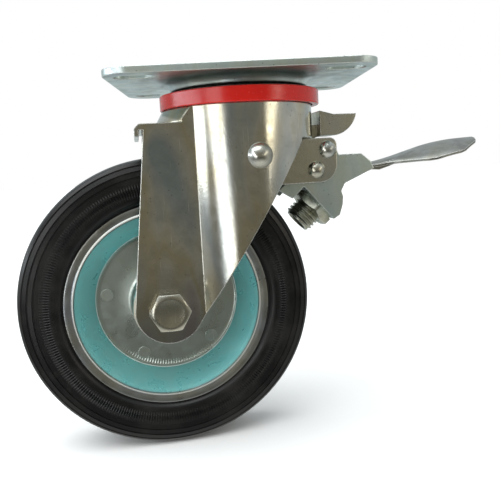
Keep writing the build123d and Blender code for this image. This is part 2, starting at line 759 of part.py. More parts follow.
with BuildPart() as brake_pedal:
    # The bent channel: two walls, joined by webs over the arm, behind the stud and under it
    with BuildSketch(SIDE):
        with BuildLine():
            Polyline(
                (38, -38.6),
                (49, -38.6),
                (51.8, -45.8),
                (65, -45.7),
                *CHANNEL_END,
                (55, -61.9),
                (52.8, -66),
                (53.8, -69.3),
                (53.3, -74),
                (51.5, -79.5),
                stud_point(STUD_PLATE, -10.5),
                stud_point(STUD_PLATE, 15),
                (24.5, -68.8),
                (16.6, -63.8),
                (30, -52),
                close=True,
            )
        make_face()
    extrude(amount=LEVER_OUTER, both=True)
    with BuildSketch(SIDE):
        with BuildLine():
            Polyline(
                (10, -36),
                (50, -36),
                (50, -48.2),
                (64, -48.2),
                (68.2, -51.6),
                (69.2, -54),
                (70.5, -57.5),
                (57, -63.2),
                (52.2, -62.2),
                (50.2, -66.2),
                (51.2, -69.6),
                (50.9, -73.5),
                stud_point(STUD_PLATE + STUD_PLATE_SHEET, -8.5),
                stud_point(STUD_PLATE + STUD_PLATE_SHEET, 13),
                stud_point(STUD_PLATE - 1.5, 13),
                (10, -80),
                close=True,
            )
        make_face()
    extrude(amount=LEVER_OUTER - LEVER_SHEET, both=True, mode=Mode.SUBTRACT)
    with BuildSketch(stud_plane(STUD_PLATE)):
        Circle(STUD_RADIUS)
    extrude(amount=STUD_PLATE_SHEET + 0.5, mode=Mode.SUBTRACT)
    # The pivot holes, and the slots that let the lock pin pass
    with BuildSketch(SIDE):
        with Locations(PEDAL_PIN):
            Circle(PIN_RADIUS + RUNNING)
        pin_offset = Vector(LOCK_PIN[0] - PEDAL_PIN[0], LOCK_PIN[1] - PEDAL_PIN[1])
        pin_angle = degrees(atan2(pin_offset.Y, pin_offset.X))
        with BuildLine():
            pin_path = CenterArc(PEDAL_PIN, pin_offset.length, pin_angle - 1, 20)
        SlotArc(pin_path, 2 * (PIN_RADIUS + 0.5))
    extrude(amount=30, both=True, mode=Mode.SUBTRACT)
brake_pedal.part.label = "brake_pedal"
export_step(brake_pedal.part, "parts/brake_pedal.step")

with BuildPart() as brake_stud:
    with BuildSketch(stud_plane(0)):
        Circle(STUD_RADIUS)
    extrude(amount=STUD_LENGTH)
    chamfer(brake_stud.edges(), 0.8)
    with BuildSketch(stud_plane(0)):
        Circle(STUD_RADIUS - 3)
    extrude(amount=1.2, mode=Mode.SUBTRACT)
brake_stud.part.label = "brake_stud"
export_step(brake_stud.part, "parts/brake_stud.step")

with BuildPart() as stud_nut:
    with BuildSketch(stud_plane(STUD_PLATE - STUD_NUT_HEIGHT)):
        RegularPolygon(12, 6, major_radius=False, rotation=30)
        Circle(STUD_RADIUS, mode=Mode.SUBTRACT)
    extrude(amount=STUD_NUT_HEIGHT)
stud_nut.part.label = "stud_nut"
export_step(stud_nut.part, "parts/stud_nut.step")

# The swivel lock: a rocker on the lower pin, with a tooth that points at the lock ring
TOOTH_TIP = LOCK_RING_RADIUS + 0.8
ROCKER_HALF = 4.5
HORN_HALF = 9.5
HORN_FRONT = 43.8
HORN_SHEET = 2.5

with BuildPart() as swivel_lock_lever:
    with BuildSketch(SIDE):
        with BuildLine():
            Polyline(
                (LOCK_PIN[0] - 4.5, LOCK_PIN[1]),
                (33.6, -36),
                (33.6, -28.4),
                (45, -28.4),
                (45, -34.6),
                (39.6, -36.5),
                (39.8, -43),
                (LOCK_PIN[0] + 4.5, LOCK_PIN[1]),
                close=True,
            )
        make_face()
        with Locations(LOCK_PIN):
            Circle(5)
            Circle(PIN_RADIUS + RUNNING, mode=Mode.SUBTRACT)
    extrude(amount=ROCKER_HALF, both=True)
    with BuildSketch(SIDE):
        with Locations((TOOTH_TIP, -32.2)):
            Rectangle(6, 3.6, align=(Align.MIN, Align.MIN))
    extrude(amount=1.6, both=True)
    with BuildSketch(SIDE):
        with BuildLine():
            foot = Line((HORN_FRONT, -34.8), (53, -34.8))
            lip = TangentArc(foot @ 1, (65.4, -23), tangent=(1, 0.15))
            Polyline(lip @ 1, (52, -23), (HORN_FRONT, -20.8), foot @ 0)
        make_face()
    extrude(amount=HORN_HALF, both=True)
    with BuildSketch(SIDE):
        with BuildLine():
            foot = Line((HORN_FRONT + HORN_SHEET, -32.3), (52.5, -32.3))
            lip = TangentArc(foot @ 1, (62.4, -22), tangent=(1, 0.15))
            Polyline(lip @ 1, (62.4, -18), (HORN_FRONT + HORN_SHEET, -18), foot @ 0)
        make_face()
    extrude(amount=HORN_HALF - HORN_SHEET, both=True, mode=Mode.SUBTRACT)
swivel_lock_lever.part.label = "swivel_lock_lever"
export_step(swivel_lock_lever.part, "parts/swivel_lock_lever.step")

SPRING_WIRE = 0.8
SPRING_TURNS = 3


def coil(place, start_y, coil_radius):
    """A torsion spring's coil round a pin that runs across the fork."""
    with BuildPart() as spring:
        pitch = 2 * SPRING_WIRE + 0.15
        start = in_fork(place[0], start_y, place[1])
        with BuildLine() as path:
            Helix(pitch, pitch * SPRING_TURNS, coil_radius, center=start, direction=FORK.y_dir)
        with BuildSketch(Plane(origin=path.line @ 0, z_dir=path.line % 0)):
            Circle(SPRING_WIRE)
        sweep(path=path.line, is_frenet=True)
    return spring


lock_spring = coil(LOCK_PIN, 7.0, PIN_RADIUS + SPRING_WIRE + 0.4)
lock_spring.part.label = "lock_spring"
export_step(lock_spring.part, "parts/lock_spring.step")

pedal_spring = coil(PEDAL_PIN, -12.5, PIN_RADIUS + SPRING_WIRE + 0.4)
pedal_spring.part.label = "pedal_spring"
export_step(pedal_spring.part, "parts/pedal_spring.step")
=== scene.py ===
import json
from math import cos, pi, radians, sin, tan

import bmesh
import bpy
from mathutils import Matrix, Vector


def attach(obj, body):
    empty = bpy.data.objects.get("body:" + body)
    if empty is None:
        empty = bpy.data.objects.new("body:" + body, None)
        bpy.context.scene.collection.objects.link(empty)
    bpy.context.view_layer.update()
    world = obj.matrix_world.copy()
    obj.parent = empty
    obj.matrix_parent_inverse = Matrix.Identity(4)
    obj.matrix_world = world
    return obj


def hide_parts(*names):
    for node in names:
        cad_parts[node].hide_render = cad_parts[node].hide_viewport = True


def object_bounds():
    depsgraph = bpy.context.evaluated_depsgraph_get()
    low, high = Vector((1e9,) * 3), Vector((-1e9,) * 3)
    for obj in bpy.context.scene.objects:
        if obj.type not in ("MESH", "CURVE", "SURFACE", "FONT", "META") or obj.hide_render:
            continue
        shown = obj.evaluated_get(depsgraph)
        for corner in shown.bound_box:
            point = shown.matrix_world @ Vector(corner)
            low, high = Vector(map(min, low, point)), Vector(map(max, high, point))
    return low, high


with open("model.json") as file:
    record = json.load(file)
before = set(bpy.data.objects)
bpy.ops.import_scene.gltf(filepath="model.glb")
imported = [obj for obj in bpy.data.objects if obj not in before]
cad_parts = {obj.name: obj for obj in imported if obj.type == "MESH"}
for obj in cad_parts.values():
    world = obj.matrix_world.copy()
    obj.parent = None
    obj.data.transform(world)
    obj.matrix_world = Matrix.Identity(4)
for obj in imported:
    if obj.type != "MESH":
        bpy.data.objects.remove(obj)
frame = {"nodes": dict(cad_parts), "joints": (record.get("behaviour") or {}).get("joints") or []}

cad_low, cad_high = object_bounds()

# --------------------------------------------------------------------------------------------
# Studio: a pale seamless floor of painted board, with softboxes to the left, overhead and to
# the right. The room behind the camera is dull olive, which the flat plating mirrors.
# --------------------------------------------------------------------------------------------

MM = 0.001


def linear(code):
    """An sRGB hex colour as the linear RGBA that a shader takes."""
    channels = [int(code[place:place + 2], 16) / 255 for place in (1, 3, 5)]
    return [c / 12.92 if c <= 0.04045 else ((c + 0.055) / 1.055) ** 2.4 for c in channels] + [1.0]


def add_node(tree, kind, values=None, links=None):
    """Adds a node. values sets its properties and open sockets, links joins sockets to others."""
    new = tree.nodes.new(kind)
    for key, value in (values or {}).items():
        if isinstance(key, str) and hasattr(new, key):
            setattr(new, key, value)
        else:
            new.inputs[key].default_value = value
    for key, source in (links or {}).items():
        tree.links.new(source, new.inputs[key])
    return new


def new_material(name):
    """An empty node material and its tree."""
    material = bpy.data.materials.new(name)
    material.use_nodes = True
    material.node_tree.nodes.clear()
    return material, material.node_tree


def finish_material(tree, values, links):
    """Ends a material with its shader and output."""
    shader = add_node(tree, "ShaderNodeBsdfPrincipled", values, links)
    add_node(tree, "ShaderNodeOutputMaterial", links={"Surface": shader.outputs[0]})


def softbox(name, place, aim, width, height, power, colour="#ffffff"):
    """A rectangular area light at place, in metres, facing aim."""
    light = bpy.data.lights.new(name, "AREA")
    light.shape = "RECTANGLE"
    light.size = width
    light.size_y = height
    light.energy = power
    light.color = linear(colour)[:3]
    holder = bpy.data.objects.new(name, light)
    holder.location = place
    holder.rotation_euler = (Vector(aim) - Vector(place)).to_track_quat("-Z", "Z").to_euler()
    bpy.context.scene.collection.objects.link(holder)


FLOOR_RADIUS = 6.0
FLOOR_SIDES = 96
FLOOR_DROP = 0.0001

floor_mesh = bpy.data.meshes.new("floor")
floor_z = cad_low[2] - FLOOR_DROP
floor_rim = [
    (FLOOR_RADIUS * cos(2 * pi * i / FLOOR_SIDES), FLOOR_RADIUS * sin(2 * pi * i / FLOOR_SIDES), floor_z)
    for i in range(FLOOR_SIDES)
]
floor_mesh.from_pydata(floor_rim, [], [tuple(range(FLOOR_SIDES))])
floor = bpy.data.objects.new("floor", floor_mesh)
bpy.context.scene.collection.objects.link(floor)

painted_board, tree = new_material("matt_white_painted_board")
coords = add_node(tree, "ShaderNodeTexCoord")
roller_marks = add_node(
    tree, "ShaderNodeTexNoise", {"Scale": 1 / (40 * MM), "Detail": 4.0}, {"Vector": coords.outputs["Object"]}
)
board_colour = add_node(
    tree,
    "ShaderNodeMix",
    {"data_type": "RGBA", 6: linear("#f6f6f5"), 7: linear("#f1f2f2")},
    {0: roller_marks.outputs["Fac"]},
)
finish_material(tree, {"Roughness": 0.7, "Specular IOR Level": 0.2}, {"Base Color": board_colour.outputs[2]})
floor_mesh.materials.append(painted_board)

# The plating mirrors the studio's walls and not the floor, which would flood the flat legs
floor.visible_glossy = False

sun = bpy.data.lights.new("overhead_bank", "SUN")
sun.energy = 2.6
sun.angle = radians(70)
sun_holder = bpy.data.objects.new("overhead_bank", sun)
sun_holder.rotation_euler = (radians(12), radians(-14), 0)
bpy.context.scene.collection.objects.link(sun_holder)
softbox("left_strip", (-0.66, -0.90, 0.10), (0.0, 0.0, -0.08), 0.36, 1.3, 4.0)
softbox("left_side", (-1.15, -0.22, 0.10), (0.0, 0.0, -0.08), 0.22, 1.2, 4.0, "#eef6ff")
softbox("right_side", (1.0, -0.62, 0.2), (0.0, 0.0, -0.1), 0.16, 0.9, 1.4, "#fff6e4")

# The room: dull olive walls behind the camera, darker low down, pale ones past the wheel and at
# the sides, a bright ceiling and a bright floor. The camera itself sees plain white all round
world = bpy.data.worlds.new("studio")
bpy.context.scene.world = world
world.use_nodes = True
tree = world.node_tree
tree.nodes.clear()
look = add_node(tree, "ShaderNodeTexCoord").outputs["Generated"]
look_parts = add_node(tree, "ShaderNodeSeparateXYZ", links={"Vector": look})
depth_walls = add_node(
    tree, "ShaderNodeMapRange", {"From Min": -1.0, "From Max": 1.0}, {"Value": look_parts.outputs["Y"]}
)
walls = add_node(tree, "ShaderNodeValToRGB", links={"Fac": depth_walls.outputs[0]})
wall_stops = ((0.04, "#8a867a"), (0.22, "#7e7b71"), (0.45, "#bbbebb"), (0.75, "#b9c2c4"), (1.0, "#ccd6d8"))
while len(walls.color_ramp.elements) < len(wall_stops):
    walls.color_ramp.elements.new(0.5)
for element, (place, code) in zip(walls.color_ramp.elements, wall_stops):
    element.position = place
    element.color = linear(code)
sideways = add_node(tree, "ShaderNodeMath", {"operation": "ABSOLUTE"}, {0: look_parts.outputs["X"]})
in_front = add_node(
    tree, "ShaderNodeMapRange", {"From Min": -0.5, "From Max": -0.85}, {"Value": look_parts.outputs["Y"]}
)
LOW_FRONT = "#5a5a55"
room = walls.outputs["Color"]
for source, start, end, code in (
    (look_parts.outputs["Z"], -0.15, -0.27, LOW_FRONT),
    (sideways.outputs[0], 0.70, 0.98, "#c9c8c2"),
    (look_parts.outputs["Z"], 0.25, 0.85, "#e8eef2"),
    (look_parts.outputs["Z"], -0.42, -0.80, "#f4f4f0"),
):
    part = add_node(tree, "ShaderNodeMapRange", {"From Min": start, "From Max": end}, {"Value": source})
    if code == LOW_FRONT:
        part = add_node(
            tree, "ShaderNodeMath", {"operation": "MULTIPLY"}, {0: part.outputs[0], 1: in_front.outputs[0]}
        )
    blend = add_node(
        tree, "ShaderNodeMix", {"data_type": "RGBA", 7: linear(code)}, {0: part.outputs[0], 6: room}
    )
    room = blend.outputs[2]
seen = add_node(tree, "ShaderNodeLightPath")
backdrop = add_node(
    tree,
    "ShaderNodeMix",
    {"data_type": "RGBA", 7: linear("#ffffff")},
    {0: seen.outputs["Is Camera Ray"], 6: room},
)
glow = add_node(tree, "ShaderNodeBackground", {"Strength": 1.0}, {"Color": backdrop.outputs[2]})
add_node(tree, "ShaderNodeOutputWorld", links={"Surface": glow.outputs[0]})
bpy.context.scene.view_settings.view_transform = "Standard"

CAMERA_PLACE = Vector((-0.01352, -0.34550, -0.04751))
CAMERA_YAW = 0.0440
CAMERA_PITCH = -0.145
CAMERA_ROLL = -0.053
LENS = 43.2

forward = Vector((sin(CAMERA_YAW), cos(CAMERA_YAW), 0))
right = Vector((cos(CAMERA_YAW), -sin(CAMERA_YAW), 0))
up = Vector((0, 0, 1))
ahead = forward * cos(CAMERA_PITCH) + up * sin(CAMERA_PITCH)
level_up = up * cos(CAMERA_PITCH) - forward * sin(CAMERA_PITCH)
camera_x = right * cos(CAMERA_ROLL) + level_up * sin(CAMERA_ROLL)
camera_y = level_up * cos(CAMERA_ROLL) - right * sin(CAMERA_ROLL)
turned = Matrix((camera_x, camera_y, -ahead)).transposed().to_4x4()
camera = bpy.data.objects.new("camera", bpy.data.cameras.new("camera"))
camera.data.lens = LENS
camera.data.sensor_width = 36
camera.data.clip_start = 0.01
camera.matrix_world = Matrix.Translation(CAMERA_PLACE) @ turned
bpy.context.scene.collection.objects.link(camera)
bpy.context.scene.camera = camera

# --------------------------------------------------------------------------------------------
# Top plate: mild steel blanked to a rounded rectangle, with four bolt slots and a pressed cup
# for the ball race. Barrel-plated in zinc with a clear blue passivate, so its flats are satin.
# --------------------------------------------------------------------------------------------


def zinc_plated(name, light, dark, smooth, dull, tint, edge_highlight_mm):
    """Zinc electroplate under a clear passivate, which leaves faint blue, straw and violet tints.

    light and dark are the plating where it is clean and where it has dulled, smooth and dull its
    roughness there, tint how far the passivate colours it, the last argument how wide its painted edge
    highlights are.
    """
    material, tree = new_material(name)
    coords = add_node(tree, "ShaderNodeTexCoord").outputs["Object"]
    clouds = add_node(
        tree,
        "ShaderNodeTexNoise",
        {"Scale": 1 / (11 * MM), "Detail": 6.0, "Roughness": 0.62, "Distortion": 0.4},
        {"Vector": coords},
    )
    clouded = add_node(
        tree,
        "ShaderNodeMapRange",
        {"From Min": 0.38, "From Max": 0.66},
        {"Value": clouds.outputs["Fac"]},
    )
    plating = add_node(
        tree,
        "ShaderNodeMix",
        {"data_type": "RGBA", 6: linear(light), 7: linear(dark)},
        {0: clouded.outputs[0]},
    )
    # The passivate is a film thinner than the light's own waves, so its colour wanders slowly
    drawn_out = add_node(
        tree, "ShaderNodeVectorMath", {"operation": "MULTIPLY", 1: (1.0, 1.0, 0.35)}, {0: coords}
    )
    film = add_node(
        tree,
        "ShaderNodeTexNoise",
        {"Scale": 1 / (24 * MM), "Detail": 2.0, "Distortion": 0.5},
        {"Vector": drawn_out.outputs[0]},
    )
    film_colour = add_node(tree, "ShaderNodeValToRGB", links={"Fac": film.outputs["Fac"]})
    stops = ((0.28, "#9cbbd8"), (0.42, "#e6e8e6"), (0.52, "#ddd2ac"), (0.60, "#e6e8e6"), (0.74, "#c3abc8"))
    ramp = film_colour.color_ramp
    while len(ramp.elements) < len(stops):
        ramp.elements.new(0.5)
    for element, (place, code) in zip(ramp.elements, stops):
        element.position = place
        element.color = linear(code)
    tinted = add_node(
        tree,
        "ShaderNodeMix",
        {"data_type": "RGBA", "blend_type": "MULTIPLY", 0: tint},
        {6: plating.outputs[2], 7: film_colour.outputs["Color"]},
    )
    # Painted highlight: the edges are painted bright, standing in for the light their rounding catches
    rounded = add_node(tree, "ShaderNodeBevel", {"samples": 4, "Radius": edge_highlight_mm * MM})
    surface = add_node(tree, "ShaderNodeNewGeometry")
    alike = add_node(
        tree,
        "ShaderNodeVectorMath",
        {"operation": "DOT_PRODUCT"},
        {0: rounded.outputs[0], 1: surface.outputs["Normal"]},
    )
    painted_edge_highlight = add_node(
        tree,
        "ShaderNodeMapRange",
        {"From Min": 0.99, "From Max": 0.86, "To Min": 0.0, "To Max": 1.0},
        {"Value": alike.outputs["Value"]},
    )
    # Handling scratches, about a fifth of a millimetre wide and twenty long
    turned_coords = add_node(
        tree,
        "ShaderNodeMapping",
        {"Rotation": (0.5, 0.9, 0.4), "Scale": (1 / (0.35 * MM), 1 / (0.35 * MM), 1 / (22 * MM))},
        {"Vector": coords},
    )
    strokes = add_node(
        tree, "ShaderNodeTexNoise", {"Scale": 1.0, "Detail": 1.0}, {"Vector": turned_coords.outputs[0]}
    )
    scratched = add_node(
        tree,
        "ShaderNodeMapRange",
        {"From Min": 0.73, "From Max": 0.80, "To Max": 0.7},
        {"Value": strokes.outputs["Fac"]},
    )
    # The painted edge highlights joined with the scratches, which are real wear
    edge_highlight_and_scratches = add_node(
        tree,
        "ShaderNodeMath",
        {"operation": "MAXIMUM"},
        {0: painted_edge_highlight.outputs[0], 1: scratched.outputs[0]},
    )
    bright = add_node(
        tree,
        "ShaderNodeMix",
        {"data_type": "RGBA", 7: linear("#eef0ee")},
        {0: edge_highlight_and_scratches.outputs[0], 6: tinted.outputs[2]},
    )
    # Pits about half a millimetre across, where dirt holds
    pits = add_node(
        tree, "ShaderNodeTexVoronoi", {"Scale": 1 / (3.2 * MM), "Randomness": 1.0}, {"Vector": coords}
    )
    pitted = add_node(
        tree,
        "ShaderNodeMapRange",
        {"From Min": 0.10, "From Max": 0.06, "To Max": 0.75},
        {"Value": pits.outputs["Distance"]},
    )
    colour = add_node(
        tree,
        "ShaderNodeMix",
        {"data_type": "RGBA", 7: linear("#3b3a36")},
        {0: pitted.outputs[0], 6: bright.outputs[2]},
    )
    sheen = add_node(
        tree,
        "ShaderNodeMapRange",
        {"From Min": 0.35, "From Max": 0.70, "To Min": smooth, "To Max": dull},
        {"Value": clouds.outputs["Fac"]},
    )
    gloss = add_node(
        tree,
        "ShaderNodeMix",
        {"data_type": "FLOAT", 3: 0.5},
        {0: painted_edge_highlight.outputs[0], 2: sheen.outputs[0]},
    )
    # The drawn sheet's grain and the plating's crystals, both under a millimetre
    grain = add_node(
        tree, "ShaderNodeTexNoise", {"Scale": 1 / (0.9 * MM), "Detail": 3.0}, {"Vector": coords}
    )
    relief = add_node(
        tree,
        "ShaderNodeMath",
        {"operation": "SUBTRACT"},
        {0: grain.outputs["Fac"], 1: pitted.outputs[0]},
    )
    bump = add_node(
        tree,
        "ShaderNodeBump",
        {"Strength": 0.10, "Distance": 0.15 * MM},
        {"Height": relief.outputs[0], "Normal": rounded.outputs[0]},
    )
    finish_material(
        tree,
        {"Metallic": 1.0},
        {"Base Color": colour.outputs[2], "Roughness": gloss.outputs["Result"], "Normal": bump.outputs[0]},
    )
    return material


nodes = frame["nodes"]
WELD_MM = 0.002
FLAT_ANGLE = radians(0.5)
CUT_EDGE_ANGLE = radians(35)
SHARP_ANGLE = radians(40)


def eased(name, node_name, width_mm, material, body):
    """A sheet piece with its cut edges eased, as the plating barrel leaves them. It stands for the
    CAD node that it is made from."""
    work = bmesh.new()
    work.from_mesh(nodes[node_name].data)
    bmesh.ops.remove_doubles(work, verts=work.verts, dist=WELD_MM * MM)
    bmesh.ops.dissolve_limit(work, angle_limit=FLAT_ANGLE, verts=work.verts, edges=work.edges)
    cut = [e for e in work.edges if e.is_manifold and e.calc_face_angle() > CUT_EDGE_ANGLE]
    bmesh.ops.bevel(
        work,
        geom=cut,
        offset=width_mm * MM,
        offset_type="OFFSET",
        segments=2,
        profile=0.6,
        affect="EDGES",
        clamp_overlap=False,
    )
    mesh = bpy.data.meshes.new(name)
    work.to_mesh(mesh)
    work.free()
    for layer in ("custom_normal", "sharp_face", "sharp_edge"):
        if layer in mesh.attributes:
            mesh.attributes.remove(mesh.attributes[layer])
    mesh.polygons.foreach_set("use_smooth", [True] * len(mesh.polygons))
    mesh.set_sharp_from_angle(angle=SHARP_ANGLE)
    mesh.materials.clear()
    mesh.materials.append(material)
    piece = bpy.data.objects.new(name, mesh)
    bpy.context.scene.collection.objects.link(piece)
    weighting = piece.modifiers.new("face_weighted_shading", "WEIGHTED_NORMAL")
    weighting.keep_sharp = True
    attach(piece, body)
    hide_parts(node_name)


# Satin zinc with a cold cast: it spreads the light from below into a broad pale sheen
satin_zinc = zinc_plated("satin_zinc_plate", "#d3e0df", "#b9c8c7", 0.30, 0.46, 0.25, 0.8)
eased("blanked_top_plate", "top_plate", 0.5, satin_zinc, "plate")

# --------------------------------------------------------------------------------------------
# Swivel head: a king bolt and nut of grade 8 steel through two rings of hardened balls. The
# races are pressed and case-hardened, and greased, so they show darker than the plating.
# --------------------------------------------------------------------------------------------


def dress(material, *names):
    """Puts one material on CAD nodes."""
    for name in names:
        slots = nodes[name].data.materials
        for place in range(max(1, len(slots))):
            if place < len(slots):
                slots[place] = material
            else:
                slots.append(material)


# Bright zinc on cut steel: small, hard highlights
bright_zinc = zinc_plated("bright_zinc_fastener", "#c9cac4", "#a9aba6", 0.20, 0.34, 0.45, 0.3)
dress(bright_zinc, "king_sleeve")


def ringed_mesh(name, rings, material, matrix, body, stands_for, crease=32.0):
    """A closed mesh through rings of equal length, each a list of points in mm. The rings join up,
    or are closed by a face at either end where the first and last differ."""
    count = len(rings[0])
    points = [tuple(c * MM for c in point) for ring in rings for point in ring]
    faces = []
    for a in range(len(rings) - 1):
        for i in range(count):
            j = (i + 1) % count
            faces.append((a * count + i, a * count + j, (a + 1) * count + j, (a + 1) * count + i))
    if rings[0] == rings[-1]:
        points = points[:-count]
        last = len(points)
        faces = [tuple(p % last for p in face) for face in faces]
    else:
        faces.append(tuple(range(count - 1, -1, -1)))
        faces.append(tuple(range((len(rings) - 1) * count, len(rings) * count)))
    mesh = bpy.data.meshes.new(name)
    mesh.from_pydata(points, [], faces)
    mesh.transform(matrix)
    mesh.polygons.foreach_set("use_smooth", [True] * len(mesh.polygons))
    mesh.set_sharp_from_angle(angle=radians(crease))
    mesh.materials.append(material)
    piece = bpy.data.objects.new(name, mesh)
    bpy.context.scene.collection.objects.link(piece)
    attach(piece, body)
    if stands_for:
        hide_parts(*stands_for)


def round_ring(radius, height, count):
    """A circle of points."""
    turns = [2 * pi * i / count for i in range(count)]
    return [(radius * cos(turn), radius * sin(turn), height) for turn in turns]


HEX_POINTS = 96
HEX_TURNS = [2 * pi * (i + 0.5) / HEX_POINTS for i in range(HEX_POINTS)]
HEX_CHAMFER = radians(30)
HEX_FACE_PART = 0.93


def hex_rings(flats, low, high, chamfer_low, chamfer_high):
    """Rings of a hexagon from low to high, with a turned chamfer at each end that is asked for."""
    reach = [flats / 2 / cos((turn % (pi / 3)) - pi / 6) for turn in HEX_TURNS]
    face = flats / 2 * HEX_FACE_PART
    drop = [(r - face) * tan(HEX_CHAMFER) for r in reach]
    around = [(cos(turn), sin(turn)) for turn in HEX_TURNS]
    rings = []
    if chamfer_low:
        rings.append([(c * face, s * face, low) for c, s in around])
        rings.append([(c * r, s * r, low + d) for (c, s), r, d in zip(around, reach, drop)])
    else:
        rings.append([(c * r, s * r, low) for (c, s), r in zip(around, reach)])
    if chamfer_high:
        rings.append([(c * r, s * r, high - d) for (c, s), r, d in zip(around, reach, drop)])
        rings.append([(c * face, s * face, high) for c, s in around])
    else:
        rings.append([(c * r, s * r, high) for (c, s), r in zip(around, reach)])
    return rings


THREAD_POINTS = 72
THREAD_STEPS = 10
THREAD_DEPTH_PART = 0.61
RUN_OUT_TURNS = 0.625
THREAD_ROOT = 0.12
THREAD_FLANK = 0.72


def thread_rings(radius, pitch, start, end):
    """Rings of a rolled thread from start to end: each point's radius follows the helix."""
    steps = int(abs(end - start) / pitch * THREAD_STEPS)
    depth = pitch * THREAD_DEPTH_PART
    rings = []
    for step in range(steps + 1):
        along = start + (end - start) * step / steps
        fade = min(1.0, min(step, steps - step) / THREAD_STEPS / RUN_OUT_TURNS)
        ring = []
        for i in range(THREAD_POINTS):
            turn = 2 * pi * i / THREAD_POINTS
            phase = (along / pitch - i / THREAD_POINTS) % 1.0
            ramp_up = abs(2 * phase - 1)
            rise = min(1.0, max(0.0, (ramp_up - THREAD_ROOT) / THREAD_FLANK))
            reach = radius - depth + depth * (rise * fade)
            ring.append((reach * cos(turn), reach * sin(turn), along))
        rings.append(ring)
    return rings


KING_FLATS = 24.0
KING_HEAD = (-8.5, -1.5)
KING_SHANK = 8.0
KING_NUT = (-42.3, -33.3)
KING_END = -44.4
KING_PITCH = 2.0
KING_THREAD_TOP = -32.0
KING_TIP = 1.4
SHANK_UNDER = 0.05
THREAD_UNDER = 0.02
LEAD_IN = 0.9
TIP_HEIGHT = 0.4
upright = Matrix.Identity(4)


def bore_rings(levels):
    """Rings with as many points as a hexagon's, each of a radius and a height."""
    return [[(r * cos(turn), r * sin(turn), height) for turn in HEX_TURNS] for r, height in levels]


king_head = hex_rings(KING_FLATS, *KING_HEAD, False, True)
king_shank_radius = KING_SHANK - SHANK_UNDER
king_shank = bore_rings(((king_shank_radius, KING_THREAD_TOP - 0.5), (king_shank_radius, KING_HEAD[0])))
ringed_mesh(
    "king_bolt_head",
    king_shank + king_head,
    bright_zinc,
    upright,
    "plate",
    ["king_bolt"],
)
king_thread = [round_ring(KING_SHANK - KING_TIP, KING_END, THREAD_POINTS)]
king_thread += thread_rings(
    KING_SHANK - THREAD_UNDER, KING_PITCH, KING_END + TIP_HEIGHT, KING_THREAD_TOP
)
ringed_mesh("king_bolt_thread", king_thread, bright_zinc, upright, "plate", [])
king_nut = hex_rings(KING_FLATS, *KING_NUT, True, False)
king_bore = bore_rings(
    (
        (KING_SHANK, KING_NUT[1]),
        (KING_SHANK, KING_NUT[0] + LEAD_IN),
        (KING_SHANK + LEAD_IN, KING_NUT[0]),
    )
)
ringed_mesh(
    "king_lock_nut",
    king_nut + king_bore + king_nut[:1],
    bright_zinc,
    upright,
    "plate",
    ["king_nut"],
)


def bare_steel(name, light, dark, roughness, film_mm):
    """Ground or drawn steel without plating, under a thin film of grease in patches."""
    material, tree = new_material(name)
    coords = add_node(tree, "ShaderNodeTexCoord").outputs["Object"]
    film = add_node(
        tree, "ShaderNodeTexNoise", {"Scale": 1 / (film_mm * MM), "Detail": 5.0}, {"Vector": coords}
    )
    patches = add_node(
        tree, "ShaderNodeMapRange", {"From Min": 0.40, "From Max": 0.62}, {"Value": film.outputs["Fac"]}
    )
    colour = add_node(
        tree,
        "ShaderNodeMix",
        {"data_type": "RGBA", 6: linear(light), 7: linear(dark)},
        {0: patches.outputs[0]},
    )
    gloss = add_node(
        tree,
        "ShaderNodeMapRange",
        {"To Min": roughness, "To Max": roughness + 0.18},
        {"Value": patches.outputs[0]},
    )
    marks = add_node(
        tree, "ShaderNodeTexNoise", {"Scale": 1 / (0.4 * MM), "Detail": 2.0}, {"Vector": coords}
    )
    bump = add_node(
        tree, "ShaderNodeBump", {"Strength": 0.15, "Distance": 0.05 * MM}, {"Height": marks.outputs["Fac"]}
    )
    finish_material(
        tree,
        {"Metallic": 1.0},
        {"Base Color": colour.outputs[2], "Roughness": gloss.outputs[0], "Normal": bump.outputs[0]},
    )
    return material


# Case-hardened steel: dark grey, with blurred reflections under the grease
hardened_steel = bare_steel("case_hardened_steel", "#9a9a96", "#6f6c64", 0.22, 4)
dress(hardened_steel, "upper_race", "lower_race", "swivel_lock_ring", "upper_balls", "lower_balls", "rollers")

# --------------------------------------------------------------------------------------------
# Dust seal: a ring injection-moulded in red polypropylene, snapped over the upper race to keep
# grit out of the balls. It is glossy and slightly translucent, with shallow flow marks.
# --------------------------------------------------------------------------------------------

# Polypropylene off a polished mould: glossy red, a little deeper where it flowed last, lightly scuffed
red_plastic, tree = new_material("glossy_red_polypropylene")
coords = add_node(tree, "ShaderNodeTexCoord").outputs["Object"]
flow = add_node(tree, "ShaderNodeTexNoise", {"Scale": 1 / (14 * MM), "Detail": 4.0}, {"Vector": coords})
red = add_node(
    tree,
    "ShaderNodeMix",
    {"data_type": "RGBA", 6: linear("#b8150d"), 7: linear("#a50c06")},
    {0: flow.outputs["Fac"]},
)
scuffs = add_node(tree, "ShaderNodeTexNoise", {"Scale": 1 / (1.5 * MM), "Detail": 5.0}, {"Vector": coords})
seal_gloss = add_node(
    tree,
    "ShaderNodeMapRange",
    {"From Min": 0.35, "From Max": 0.75, "To Min": 0.14, "To Max": 0.30},
    {"Value": scuffs.outputs["Fac"]},
)
seal_bump = add_node(
    tree, "ShaderNodeBump", {"Strength": 0.04, "Distance": 0.1 * MM}, {"Height": scuffs.outputs["Fac"]}
)
finish_material(
    tree,
    {
        "IOR": 1.49,
        "Subsurface Weight": 0.04,
        "Subsurface Scale": 1.0 * MM,
        "Subsurface Radius": (1.0, 0.2, 0.1),
    },
    {"Base Color": red.outputs[2], "Roughness": seal_gloss.outputs[0], "Normal": seal_bump.outputs[0]},
)
dress(red_plastic, "dust_seal")

# --------------------------------------------------------------------------------------------
# Fork: one blank of 3 mm steel, drawn into a round crown and folded into two flat legs, then
# zinc plated. The round back wall carries the highlights, the flat legs mirror the room.
# --------------------------------------------------------------------------------------------

